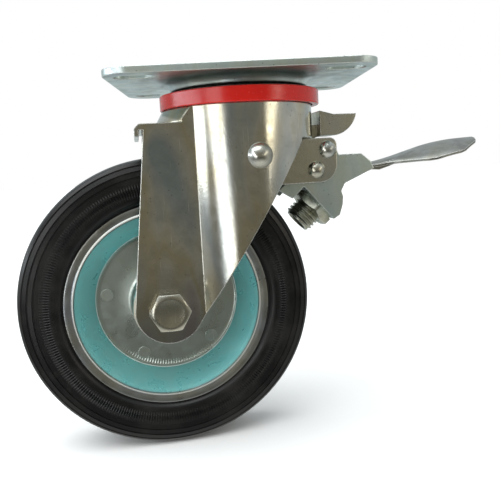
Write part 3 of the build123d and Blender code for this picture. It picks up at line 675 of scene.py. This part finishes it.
# Bright drawn sheet: sharp reflections that break up a little over the grain
bright_sheet = zinc_plated("bright_zinc_drawn_sheet", "#cfcfc9", "#bcbcb5", 0.12, 0.22, 0.62, 0.7)
eased("pressed_fork", "fork", 0.45, bright_sheet, "fork")

# --------------------------------------------------------------------------------------------
# Brake bracket: a bent channel of 2.5 mm sheet riveted inside the fork's round wall, with two
# pins across it. Rivets and pins are cold-headed steel with polished domes.
# --------------------------------------------------------------------------------------------

# Plating on bent sheet, a little duller than the fork
dull_sheet = zinc_plated("dull_zinc_bent_sheet", "#cfcfc5", "#b0b0a6", 0.22, 0.36, 0.35, 0.8)
eased("riveted_brake_bracket", "brake_bracket", 0.7, dull_sheet, "fork")
eased("swivel_lock_rocker", "swivel_lock_lever", 0.4, dull_sheet, "swivel_lock")
dress(bright_zinc, "bracket_rivets", "pedal_pin", "lock_pin")

# --------------------------------------------------------------------------------------------
# Axle: an M12 bolt through both legs, clamped on a steel sleeve by a washer and nut. The head
# and nut are cold-forged hexagons with turned chamfers, and the bolt's thread is rolled.
# --------------------------------------------------------------------------------------------

joints = {joint["name"]: joint for joint in frame["joints"]}
WHEEL_CENTRE = Vector(joints["wheel_spin"]["pos_m"])
AXLE_WAY = Vector(joints["wheel_spin"]["axis"]).normalized()
LEG_FACE = 31.0
HEAD_FLATS = 19.0
HEAD_TOP = 38.5
SHANK = 6.0
NUT_LOW = 33.5
NUT_HIGH = 43.5
BOLT_END = 46.5
BOLT_PITCH = 1.75
BOLT_THREAD_START = 30.0
BOLT_TIP = 1.1
BOLT_TIP_HEIGHT = 0.3

# The forged dish in the head: each ring's share of the hexagon's face, and its depth
HEAD_DISH = ((0.05, 0.45), (0.62, 0.40), (0.80, 0.05), (0.86, 0.0))


def stand(origin, way):
    """The matrix that stands a piece's own Z along way at origin, with its X level and to the right."""
    level = Vector((0, 0, 1)).cross(way).normalized()
    level = -level if level.x < 0 else level
    side = way.cross(level)
    return Matrix.Translation(origin) @ Matrix((level, side, way)).transposed().to_4x4()


axle_place = stand(WHEEL_CENTRE, AXLE_WAY)

head = hex_rings(HEAD_FLATS, -HEAD_TOP, -LEG_FACE, True, False)
head_dish = [
    [(x * part, y * part, -HEAD_TOP + drop) for x, y, _ in head[0]]
    for part, drop in HEAD_DISH
]
shank = bore_rings(((SHANK - SHANK_UNDER, -LEG_FACE), (SHANK - SHANK_UNDER, BOLT_THREAD_START)))
ringed_mesh(
    "axle_bolt_head",
    head_dish + head + shank,
    bright_zinc,
    axle_place,
    "fork",
    ["axle_bolt"],
)
bolt_thread = thread_rings(
    SHANK - THREAD_UNDER, BOLT_PITCH, BOLT_THREAD_START, BOLT_END - BOLT_TIP_HEIGHT
)
bolt_thread.append(round_ring(SHANK - BOLT_TIP, BOLT_END, THREAD_POINTS))
ringed_mesh(
    "axle_bolt_thread",
    bolt_thread,
    bright_zinc,
    axle_place,
    "fork",
    [],
)
nut = hex_rings(HEAD_FLATS, NUT_LOW, NUT_HIGH, True, True)
bore = bore_rings(
    (
        (SHANK + LEAD_IN, NUT_HIGH),
        (SHANK, NUT_HIGH - LEAD_IN),
        (SHANK, NUT_LOW + LEAD_IN),
        (SHANK + LEAD_IN, NUT_LOW),
    )
)
ringed_mesh(
    "axle_lock_nut",
    nut + bore + nut[:1],
    bright_zinc,
    axle_place,
    "fork",
    ["axle_nut"],
)
dress(bright_zinc, "axle_washer", "axle_sleeve")

# --------------------------------------------------------------------------------------------
# Tyre: black rubber moulded onto the rim. Its sidewall has a band of radial ribs and three
# ring grooves from the mould, and its tread is smooth, with a line where the mould parts.
# --------------------------------------------------------------------------------------------

RIB_COUNT = 288
RIB_SAMPLES = 4
RIB_BAND = (60.5, 67.5)
RIB_RISE = 0.34
GROOVES = (70.6, 73.6, 76.6)
GROOVE_HALF = 0.45
GROOVE_DEPTH = 0.42
GROOVE_LAND = 0.9
BAND_MARGIN = 0.3
BAND_STEPS = 5
TYRE_SEGMENTS = RIB_COUNT * RIB_SAMPLES

# Half section at the bead, as radius and distance from the wheel's middle
BEAD = ((39.8, 0.2), (48.9, 13.6), (50.6, 15.4), (53.4, 16.4), (55.5, 16.4))

# Half section beyond the bead, out to the parting line in the middle of the tread
SIDEWALL = (
    (55.6, 17.0), (56.3, 17.2), (57.2, 18.35), (58.4, 19.05), (60.2, 19.32), (66.0, 19.6),
    (70.0, 19.55), (74.0, 19.15), (76.5, 18.1), (78.2, 16.6), (79.1, 14.6), (79.6, 12.0),
    (79.82, 8.0), (79.9, 1.2), (79.97, 0.35),
)


def at_radius(radius):
    """The sidewall's distance from the middle at a radius."""
    for (r0, y0), (r1, y1) in zip(SIDEWALL, SIDEWALL[1:]):
        if r0 <= radius <= r1:
            return y0 + (y1 - y0) * (radius - r0) / (r1 - r0)
    return SIDEWALL[-1][1]


side_points = list(SIDEWALL[:5])
side_points.append((RIB_BAND[0] - BAND_MARGIN, at_radius(RIB_BAND[0] - BAND_MARGIN)))
for i in range(BAND_STEPS + 1):
    r = RIB_BAND[0] + (RIB_BAND[1] - RIB_BAND[0]) * i / BAND_STEPS
    side_points.append((r, at_radius(r)))
side_points.append((RIB_BAND[1] + BAND_MARGIN, at_radius(RIB_BAND[1] + BAND_MARGIN)))
for r in GROOVES:
    side_points.append((r - GROOVE_HALF, at_radius(r - GROOVE_HALF)))
    side_points.append((r - GROOVE_HALF / 2, at_radius(r) - GROOVE_DEPTH))
    side_points.append((r + GROOVE_HALF / 2, at_radius(r) - GROOVE_DEPTH))
    side_points.append((r + GROOVE_HALF, at_radius(r + GROOVE_HALF)))
    side_points.append((r + GROOVE_HALF + GROOVE_LAND, at_radius(r + GROOVE_HALF + GROOVE_LAND)))
side_points += [point for point in SIDEWALL if point[0] > side_points[-1][0] + 0.2]
half_section = list(BEAD) + side_points
tyre_section = [(r, -y) for r, y in half_section] + [(r, y) for r, y in reversed(half_section)]
tyre_turns = [2 * pi * i / TYRE_SEGMENTS for i in range(TYRE_SEGMENTS)]
tyre_circle = [(cos(turn), sin(turn)) for turn in tyre_turns]
tyre_rings = []
for r, y in tyre_section:
    ribbed = RIB_BAND[0] < r < RIB_BAND[1]
    way = 1 if y > 0 else -1
    tyre_rings.append(
        [
            (r * c, r * s, y + way * RIB_RISE * (ribbed and i % RIB_SAMPLES < RIB_SAMPLES // 2))
            for i, (c, s) in enumerate(tyre_circle)
        ]
    )
tyre_rings.append(tyre_rings[0])

# Sulphur-cured rubber: near black, satin, with a brownish dusty bloom in patches
rubber, tree = new_material("moulded_black_rubber")
coords = add_node(tree, "ShaderNodeTexCoord").outputs["Object"]
bloom = add_node(
    tree,
    "ShaderNodeTexNoise",
    {"Scale": 1 / (24 * MM), "Detail": 7.0, "Roughness": 0.65},
    {"Vector": coords},
)
bloomed = add_node(
    tree, "ShaderNodeMapRange", {"From Min": 0.46, "From Max": 0.72}, {"Value": bloom.outputs["Fac"]}
)
rubber_colour = add_node(
    tree,
    "ShaderNodeMix",
    {"data_type": "RGBA", 6: linear("#08090a"), 7: linear("#181715")},
    {0: bloomed.outputs[0]},
)
rubber_gloss = add_node(
    tree, "ShaderNodeMapRange", {"To Min": 0.31, "To Max": 0.55}, {"Value": bloomed.outputs[0]}
)
skin = add_node(tree, "ShaderNodeTexNoise", {"Scale": 1 / (0.7 * MM), "Detail": 4.0}, {"Vector": coords})
rubber_bump = add_node(
    tree, "ShaderNodeBump", {"Strength": 0.25, "Distance": 0.12 * MM}, {"Height": skin.outputs["Fac"]}
)
finish_material(
    tree,
    {"IOR": 1.52, "Specular IOR Level": 0.32},
    {
        "Base Color": rubber_colour.outputs[2],
        "Roughness": rubber_gloss.outputs[0],
        "Normal": rubber_bump.outputs[0],
    },
)
RIB_CREASE = 28.0
ringed_mesh("moulded_tyre", tyre_rings, rubber, axle_place, "wheel", ["tyre"], RIB_CREASE)

# --------------------------------------------------------------------------------------------
# Rim: two dished steel pressings riveted back to back, with a rolled lip that grips the tyre.
# The disc is plain plating, and its dished wall has a thin coat of turquoise lacquer.
# --------------------------------------------------------------------------------------------

# Half sections of one pressing, as radius and distance from the wheel's middle
RIM_OUTSIDE = (
    (55.5, 17.5), (55.25, 18.05), (54.7, 18.2), (52.6, 17.75), (51.6, 17.55), (51.2, 17.85), (50.8, 18.05),
    (50.35, 17.95), (50.0, 17.45), (48.9, 16.2), (47.2, 14.2), (40.6, 4.9), (39.9, 3.5), (39.7, 3.0),
    (39.45, 2.95), (39.1, 2.35), (38.4, 2.1), (37.0, 2.1), (30.0, 2.1), (21.8, 2.1), (20.2, 2.5), (19.3, 3.6),
    (18.9, 5.0),
)
RIM_INSIDE = ((18.85, 0.15), (39.7, 0.15), (48.9, 13.5), (50.6, 15.3), (53.4, 16.3), (55.4, 16.35))
RIM_SEGMENTS = 240
RIM_CREASE = 40.0
DISC_EDGE = (39.3 * MM, 39.9 * MM)
WALL_EDGE = (49.6 * MM, 50.1 * MM)

# Rings of painted highlight, where the crest and the step catch the light, as radius and half width
CREST_RING = (50.7, 0.45)
STEP_RING = (39.6, 0.30)

# Draw marks: how many in a turn, their fade in and out along the radius, and downwards
DRAW_MARKS = 2 * pi * 37 / 1.5
MARKS_IN = (34.6 * MM, 37.4 * MM)
MARKS_OUT = (38.6 * MM, 38.2 * MM)
MARKS_LOW = (-24 * MM, -34 * MM)
FORK_X = Vector((AXLE_WAY.y, -AXLE_WAY.x, 0))

# Zinc-plated pressing: a pale cloudy disc and lip, and between them lacquer that lets metal glint through
rim_steel, tree = new_material("lacquered_zinc_wheel_pressing")
coords = add_node(tree, "ShaderNodeTexCoord").outputs["Object"]
# How far a point is from the axle's line
from_centre = add_node(
    tree, "ShaderNodeVectorMath", {"operation": "SUBTRACT", 1: WHEEL_CENTRE}, {0: coords}
)
from_axle = add_node(
    tree, "ShaderNodeVectorMath", {"operation": "CROSS_PRODUCT", 1: AXLE_WAY}, {0: from_centre.outputs[0]}
)
distance = add_node(tree, "ShaderNodeVectorMath", {"operation": "LENGTH"}, {0: from_axle.outputs[0]})
clouds = add_node(
    tree,
    "ShaderNodeTexNoise",
    {"Scale": 1 / (9 * MM), "Detail": 6.0, "Roughness": 0.6, "Distortion": 0.6},
    {"Vector": coords},
)
disc_colour = add_node(
    tree,
    "ShaderNodeMix",
    {"data_type": "RGBA", 6: linear("#cbd6d1"), 7: linear("#a3ada8")},
    {0: clouds.outputs["Fac"]},
)
lacquer = add_node(
    tree,
    "ShaderNodeMix",
    {"data_type": "RGBA", 6: linear("#7bcccd"), 7: linear("#8bbab7")},
    {0: clouds.outputs["Fac"]},
)
lip_film = add_node(tree, "ShaderNodeTexNoise", {"Scale": 1 / (20 * MM), "Detail": 1.0}, {"Vector": coords})
lip_colour = add_node(tree, "ShaderNodeValToRGB", links={"Fac": lip_film.outputs["Fac"]})
lip_colour.color_ramp.elements[0].position = 0.38
lip_colour.color_ramp.elements[0].color = linear("#9aa0a6")
lip_colour.color_ramp.elements[1].position = 0.62
lip_colour.color_ramp.elements[1].color = linear("#a2a49e")
past_disc = add_node(
    tree,
    "ShaderNodeMapRange",
    {"From Min": DISC_EDGE[0], "From Max": DISC_EDGE[1]},
    {"Value": distance.outputs["Value"]},
)
past_wall = add_node(
    tree,
    "ShaderNodeMapRange",
    {"From Min": WALL_EDGE[0], "From Max": WALL_EDGE[1]},
    {"Value": distance.outputs["Value"]},
)
disc_or_wall = add_node(
    tree,
    "ShaderNodeMix",
    {"data_type": "RGBA"},
    {0: past_disc.outputs[0], 6: disc_colour.outputs[2], 7: lacquer.outputs[2]},
)
rim_colour = add_node(
    tree,
    "ShaderNodeMix",
    {"data_type": "RGBA"},
    {0: past_wall.outputs[0], 6: disc_or_wall.outputs[2], 7: lip_colour.outputs["Color"]},
)
# The rolled crest and the disc's step get painted highlights: two bright rings, each under a millimetre wide
highlight_rings = []
for radius, half in (CREST_RING, STEP_RING):
    off = add_node(
        tree, "ShaderNodeMath", {"operation": "SUBTRACT", 1: radius * MM}, {0: distance.outputs["Value"]}
    )
    size = add_node(tree, "ShaderNodeMath", {"operation": "ABSOLUTE"}, {0: off.outputs[0]})
    highlight_rings.append(
        add_node(
            tree,
            "ShaderNodeMapRange",
            {"From Min": half * MM, "From Max": half * MM / 2, "To Max": 0.9},
            {"Value": size.outputs[0]},
        )
    )
ring_highlight = add_node(
    tree, "ShaderNodeMath", {"operation": "MAXIMUM"}, {0: highlight_rings[0].outputs[0], 1: highlight_rings[1].outputs[0]}
)
highlighted_rim = add_node(
    tree,
    "ShaderNodeMix",
    {"data_type": "RGBA", 7: linear("#f2f5f2")},
    {0: ring_highlight.outputs[0], 6: rim_colour.outputs[2]},
)
rim_sheen = add_node(
    tree,
    "ShaderNodeMapRange",
    {"From Min": 0.35, "From Max": 0.70, "To Min": 0.26, "To Max": 0.42},
    {"Value": clouds.outputs["Fac"]},
)
rim_gloss = add_node(
    tree, "ShaderNodeMix", {"data_type": "FLOAT", 3: 0.5}, {0: ring_highlight.outputs[0], 2: rim_sheen.outputs[0]}
)
# The lacquer hides part of the metal under it
wall_only = add_node(
    tree, "ShaderNodeMath", {"operation": "SUBTRACT"}, {0: past_disc.outputs[0], 1: past_wall.outputs[0]}
)
metal_part = add_node(
    tree, "ShaderNodeMapRange", {"To Min": 1.0, "To Max": 0.55}, {"Value": wall_only.outputs[0]}
)
rim_grain = add_node(tree, "ShaderNodeTexNoise", {"Scale": 1 / (0.9 * MM), "Detail": 3.0}, {"Vector": coords})
grain_bump = add_node(
    tree, "ShaderNodeBump", {"Strength": 0.12, "Distance": 0.12 * MM}, {"Height": rim_grain.outputs["Fac"]}
)
# The die leaves a comb of radial draw marks at the disc's step, 1.5 mm apart, deepest low down
sideways_part = add_node(
    tree, "ShaderNodeVectorMath", {"operation": "DOT_PRODUCT", 1: FORK_X}, {0: from_centre.outputs[0]}
)
height_part = add_node(tree, "ShaderNodeSeparateXYZ", links={"Vector": from_centre.outputs[0]})
bearing = add_node(
    tree,
    "ShaderNodeMath",
    {"operation": "ARCTAN2"},
    {0: height_part.outputs["Z"], 1: sideways_part.outputs["Value"]},
)
comb = add_node(tree, "ShaderNodeMath", {"operation": "MULTIPLY", 1: DRAW_MARKS}, {0: bearing.outputs[0]})
comb_wave = add_node(tree, "ShaderNodeMath", {"operation": "SINE"}, {0: comb.outputs[0]})
comb_edge = add_node(
    tree,
    "ShaderNodeMapRange",
    {"From Min": MARKS_IN[0], "From Max": MARKS_IN[1]},
    {"Value": distance.outputs["Value"]},
)
comb_low = add_node(
    tree,
    "ShaderNodeMapRange",
    {"From Min": MARKS_LOW[0], "From Max": MARKS_LOW[1]},
    {"Value": height_part.outputs["Z"]},
)
comb_band = add_node(
    tree, "ShaderNodeMath", {"operation": "MULTIPLY"}, {0: comb_edge.outputs[0], 1: comb_low.outputs[0]}
)
comb_end = add_node(
    tree,
    "ShaderNodeMapRange",
    {"From Min": MARKS_OUT[0], "From Max": MARKS_OUT[1]},
    {"Value": distance.outputs["Value"]},
)
comb_kept = add_node(
    tree, "ShaderNodeMath", {"operation": "MULTIPLY"}, {0: comb_band.outputs[0], 1: comb_end.outputs[0]}
)
comb_height = add_node(
    tree, "ShaderNodeMath", {"operation": "MULTIPLY"}, {0: comb_wave.outputs[0], 1: comb_kept.outputs[0]}
)
rim_bump = add_node(
    tree,
    "ShaderNodeBump",
    {"Strength": 0.8, "Distance": 0.12 * MM},
    {"Height": comb_height.outputs[0], "Normal": grain_bump.outputs[0]},
)
finish_material(
    tree,
    {},
    {
        "Metallic": metal_part.outputs[0],
        "Base Color": highlighted_rim.outputs[2],
        "Roughness": rim_gloss.outputs["Result"],
        "Normal": rim_bump.outputs[0],
    },
)
for side, name, node_name in ((-1, "rim_half_near", "rim_near"), (1, "rim_half_far", "rim_far")):
    section = [(r, side * y) for r, y in RIM_INSIDE + RIM_OUTSIDE]
    if side > 0:
        section.reverse()
    rim_rings = [round_ring(r, y, RIM_SEGMENTS) for r, y in section]
    rim_rings.append(rim_rings[0])
    ringed_mesh(name, rim_rings, rim_steel, axle_place, "wheel", [node_name], RIM_CREASE)

# The rivets' flattened ends: the disc's own pale plating, with a painted highlight at the rim of each
disc_zinc = zinc_plated("zinc_plated_rivet", "#d3dcd7", "#b3bcb7", 0.28, 0.44, 0.2, 0.3)
dress(disc_zinc, "rim_rivets")

# --------------------------------------------------------------------------------------------
# Hub: a steel tube through both discs, lacquered like the rim's wall. Steel rollers in a nylon
# cage run in it on the axle's sleeve, behind two nylon thread guards.
# --------------------------------------------------------------------------------------------

# Thin lacquer on plated tube: turquoise, with the metal's soft shine under it
hub_lacquer = zinc_plated("turquoise_lacquered_tube", "#7cc4c6", "#6fa3a3", 0.24, 0.38, 0.2, 0.3)
dress(hub_lacquer, "hub_tube")

# Undyed nylon: cream grey, satin and slightly translucent
nylon, tree = new_material("moulded_natural_nylon")
coords = add_node(tree, "ShaderNodeTexCoord").outputs["Object"]
nylon_flow = add_node(tree, "ShaderNodeTexNoise", {"Scale": 1 / (6 * MM), "Detail": 4.0}, {"Vector": coords})
nylon_colour = add_node(
    tree,
    "ShaderNodeMix",
    {"data_type": "RGBA", 6: linear("#c9c7b8"), 7: linear("#a9a796")},
    {0: nylon_flow.outputs["Fac"]},
)
nylon_bump = add_node(
    tree, "ShaderNodeBump", {"Strength": 0.1, "Distance": 0.1 * MM}, {"Height": nylon_flow.outputs["Fac"]}
)
finish_material(
    tree,
    {"IOR": 1.53, "Roughness": 0.45, "Subsurface Weight": 0.1, "Subsurface Scale": 1.0 * MM},
    {"Base Color": nylon_colour.outputs[2], "Normal": nylon_bump.outputs[0]},
)
dress(nylon, "roller_cage", "thread_guard_near", "thread_guard_far")

# --------------------------------------------------------------------------------------------
# Brake lever: a bent channel that turns on the upper pin, with a pressed foot blade welded to
# its end. Torsion springs of drawn wire sit on both pins.
# --------------------------------------------------------------------------------------------

# Satin plating in a darker grey than the other sheet pieces, with painted highlights along its edges
pedal_sheet = zinc_plated("satin_zinc_foot_blade", "#8f918d", "#767873", 0.28, 0.42, 0.3, 0.7)
eased("lever_channel", "brake_pedal", 0.5, satin_zinc, "pedal")

# The blade's upper face along its middle, and its half width, both against distance from the king bolt
BLADE_LINE = (
    (70.6, -50.9), (78.0, -51.0), (90.0, -48.6), (103.0, -45.0), (115.0, -41.9), (128.0, -39.9),
    (139.2, -39.2)
)
BLADE_WIDTHS = (
    (70.6, 11.0), (82.0, 11.0), (86.0, 12.4), (103.5, 22.4), (107.0, 23.6), (110.0, 24.0), (122.0, 24.0),
    (125.5, 22.8), (135.6, 15.0), (137.6, 12.6), (138.9, 9.0), (139.2, 6.5)
)
BLADE_SHEET = 2.4
BLADE_HALF_WIDTH = 24.0
BLADE_DROP = 6.0
BLADE_CROWN = 1.6
BLADE_CREASE = 42.0
FLAT_HALF = 5.0
BLADE_STATIONS = 90
BLADE_ACROSS = 28
fork_frame = Matrix((FORK_X, AXLE_WAY, Vector((0, 0, 1)))).transposed().to_4x4()


def along_line(points, x, smooth):
    """The value at x on a line through points, rounded at them where smooth is true."""
    last = len(points) - 2
    place = next((i for i in range(last + 1) if x <= points[i + 1][0]), last)
    (x0, v0), (x1, v1) = points[place], points[place + 1]
    part = (x - x0) / (x1 - x0)
    if not smooth:
        return v0 + (v1 - v0) * part
    xb, vb = points[max(place - 1, 0)]
    xa, va = points[min(place + 2, last + 1)]
    slope0 = (v1 - vb) / (x1 - xb)
    slope1 = (va - v0) / (xa - x0)
    span = x1 - x0
    h00 = 2 * part**3 - 3 * part**2 + 1
    h10 = part**3 - 2 * part**2 + part
    h01 = 3 * part**2 - 2 * part**3
    h11 = part**3 - part**2
    return h00 * v0 + h10 * span * slope0 + h01 * v1 + h11 * span * slope1


blade_rings = []
for station in range(BLADE_STATIONS + 1):
    x = BLADE_LINE[0][0] + (BLADE_LINE[-1][0] - BLADE_LINE[0][0]) * station / BLADE_STATIONS
    middle = along_line(BLADE_LINE, x, True)
    half = along_line(BLADE_WIDTHS, x, False)
    upper = []
    lower = []
    for i in range(BLADE_ACROSS + 1):
        y = half * (2 * i / BLADE_ACROSS - 1)
        off_flat = max(0.0, abs(y) - FLAT_HALF) / (BLADE_HALF_WIDTH - FLAT_HALF)
        fall = BLADE_DROP * off_flat ** BLADE_CROWN
        thin = 0.5 if i in (0, BLADE_ACROSS) else (0.12 if i in (1, BLADE_ACROSS - 1) else 0.0)
        upper.append((x, y, middle - fall - thin))
        lower.append((x, y, middle - fall - BLADE_SHEET + thin))
    blade_rings.append(upper + lower[::-1])
ringed_mesh(
    "crowned_foot_blade",
    blade_rings,
    pedal_sheet,
    fork_frame,
    "pedal",
    ["pedal_blade"],
    BLADE_CREASE,
)

# Two short flanges under the blade's neck, where it is welded into the channel
FLANGE_SIDE = (
    (71.2, -52.3), (72.2, -55.2), (78.0, -55.6), (84.0, -53.9), (101.0, -48.0), (90.0, -49.6), (78.0, -52.0)
)
FLANGE_FACES = (8.7, 10.8)
for side, name in ((-1, "blade_flange_near"), (1, "blade_flange_far")):
    flange_rings = [[(x, side * y, z) for x, z in FLANGE_SIDE] for y in FLANGE_FACES]
    if side > 0:
        flange_rings.reverse()
    ringed_mesh(name, flange_rings, pedal_sheet, fork_frame, "pedal", [])

# Drawn spring steel: dark and slightly streaky, never plated
spring_wire = bare_steel("drawn_spring_wire", "#8f8f8c", "#5c5a55", 0.30, 3)
dress(spring_wire, "lock_spring", "pedal_spring")

# --------------------------------------------------------------------------------------------
# Brake stud: a threaded steel screw that presses on the tread, set through the lever's stud
# plate and held by a hexagon nut. It is phosphated and oiled, and its face has a shallow recess.
# --------------------------------------------------------------------------------------------

STUD_RADIUS = 9.0
STUD_PITCH = 2.3
STUD_LENGTH = 17.5
STUD_LEAN = radians(41.0)
STUD_FACE_X = 30.4
STUD_FACE_Z = -83.0
STUD_UNDER = 1.4
STUD_THREAD_END = 0.4

# The face that meets the tread: rings of its shallow recess, as radius and height
STUD_RECESS = (
    (0.3, 1.2),
    (STUD_RADIUS - 3.4, 1.2),
    (STUD_RADIUS - 3.0, 0.9),
    (STUD_RADIUS - 2.9, 0.15),
    (STUD_RADIUS - 2.6, 0.0),
    (STUD_RADIUS - 1.5, 0.0),
)
STUD_FACE = FORK_X * STUD_FACE_X * MM + Vector((0, 0, STUD_FACE_Z * MM))
STUD_WAY = (FORK_X * cos(STUD_LEAN) + Vector((0, 0, sin(STUD_LEAN)))).normalized()
stud_place = stand(STUD_FACE, STUD_WAY)

# Zinc phosphate and oil: olive grey, semi-matt, with painted highlights on the thread's crests
phosphated = zinc_plated("oiled_phosphated_steel", "#c2c3b4", "#8e9083", 0.26, 0.40, 0.2, 0.2)
stud_rings = [round_ring(r, height, THREAD_POINTS) for r, height in STUD_RECESS]
stud_rings += thread_rings(
    STUD_RADIUS - THREAD_UNDER, STUD_PITCH, STUD_THREAD_END, STUD_LENGTH - STUD_THREAD_END
)
stud_rings.append(round_ring(STUD_RADIUS - STUD_UNDER, STUD_LENGTH, THREAD_POINTS))
ringed_mesh(
    "threaded_brake_stud",
    stud_rings,
    phosphated,
    stud_place,
    "pedal",
    ["brake_stud"],
)
STUD_NUT_FLATS = 24.0
STUD_NUT = (9.0, 14.0)
STUD_LEAD_IN = 0.7
STUD_NUT_MOUTH = 0.8
stud_nut_outer = hex_rings(STUD_NUT_FLATS, *STUD_NUT, True, False)
stud_bore = bore_rings(
    (
        (STUD_RADIUS, STUD_NUT[1]),
        (STUD_RADIUS, STUD_NUT[0] + STUD_LEAD_IN),
        (STUD_RADIUS + STUD_NUT_MOUTH, STUD_NUT[0]),
    )
)
ringed_mesh(
    "stud_lock_nut",
    stud_nut_outer + stud_bore + stud_nut_outer[:1],
    phosphated,
    stud_place,
    "pedal",
    ["stud_nut"],
)
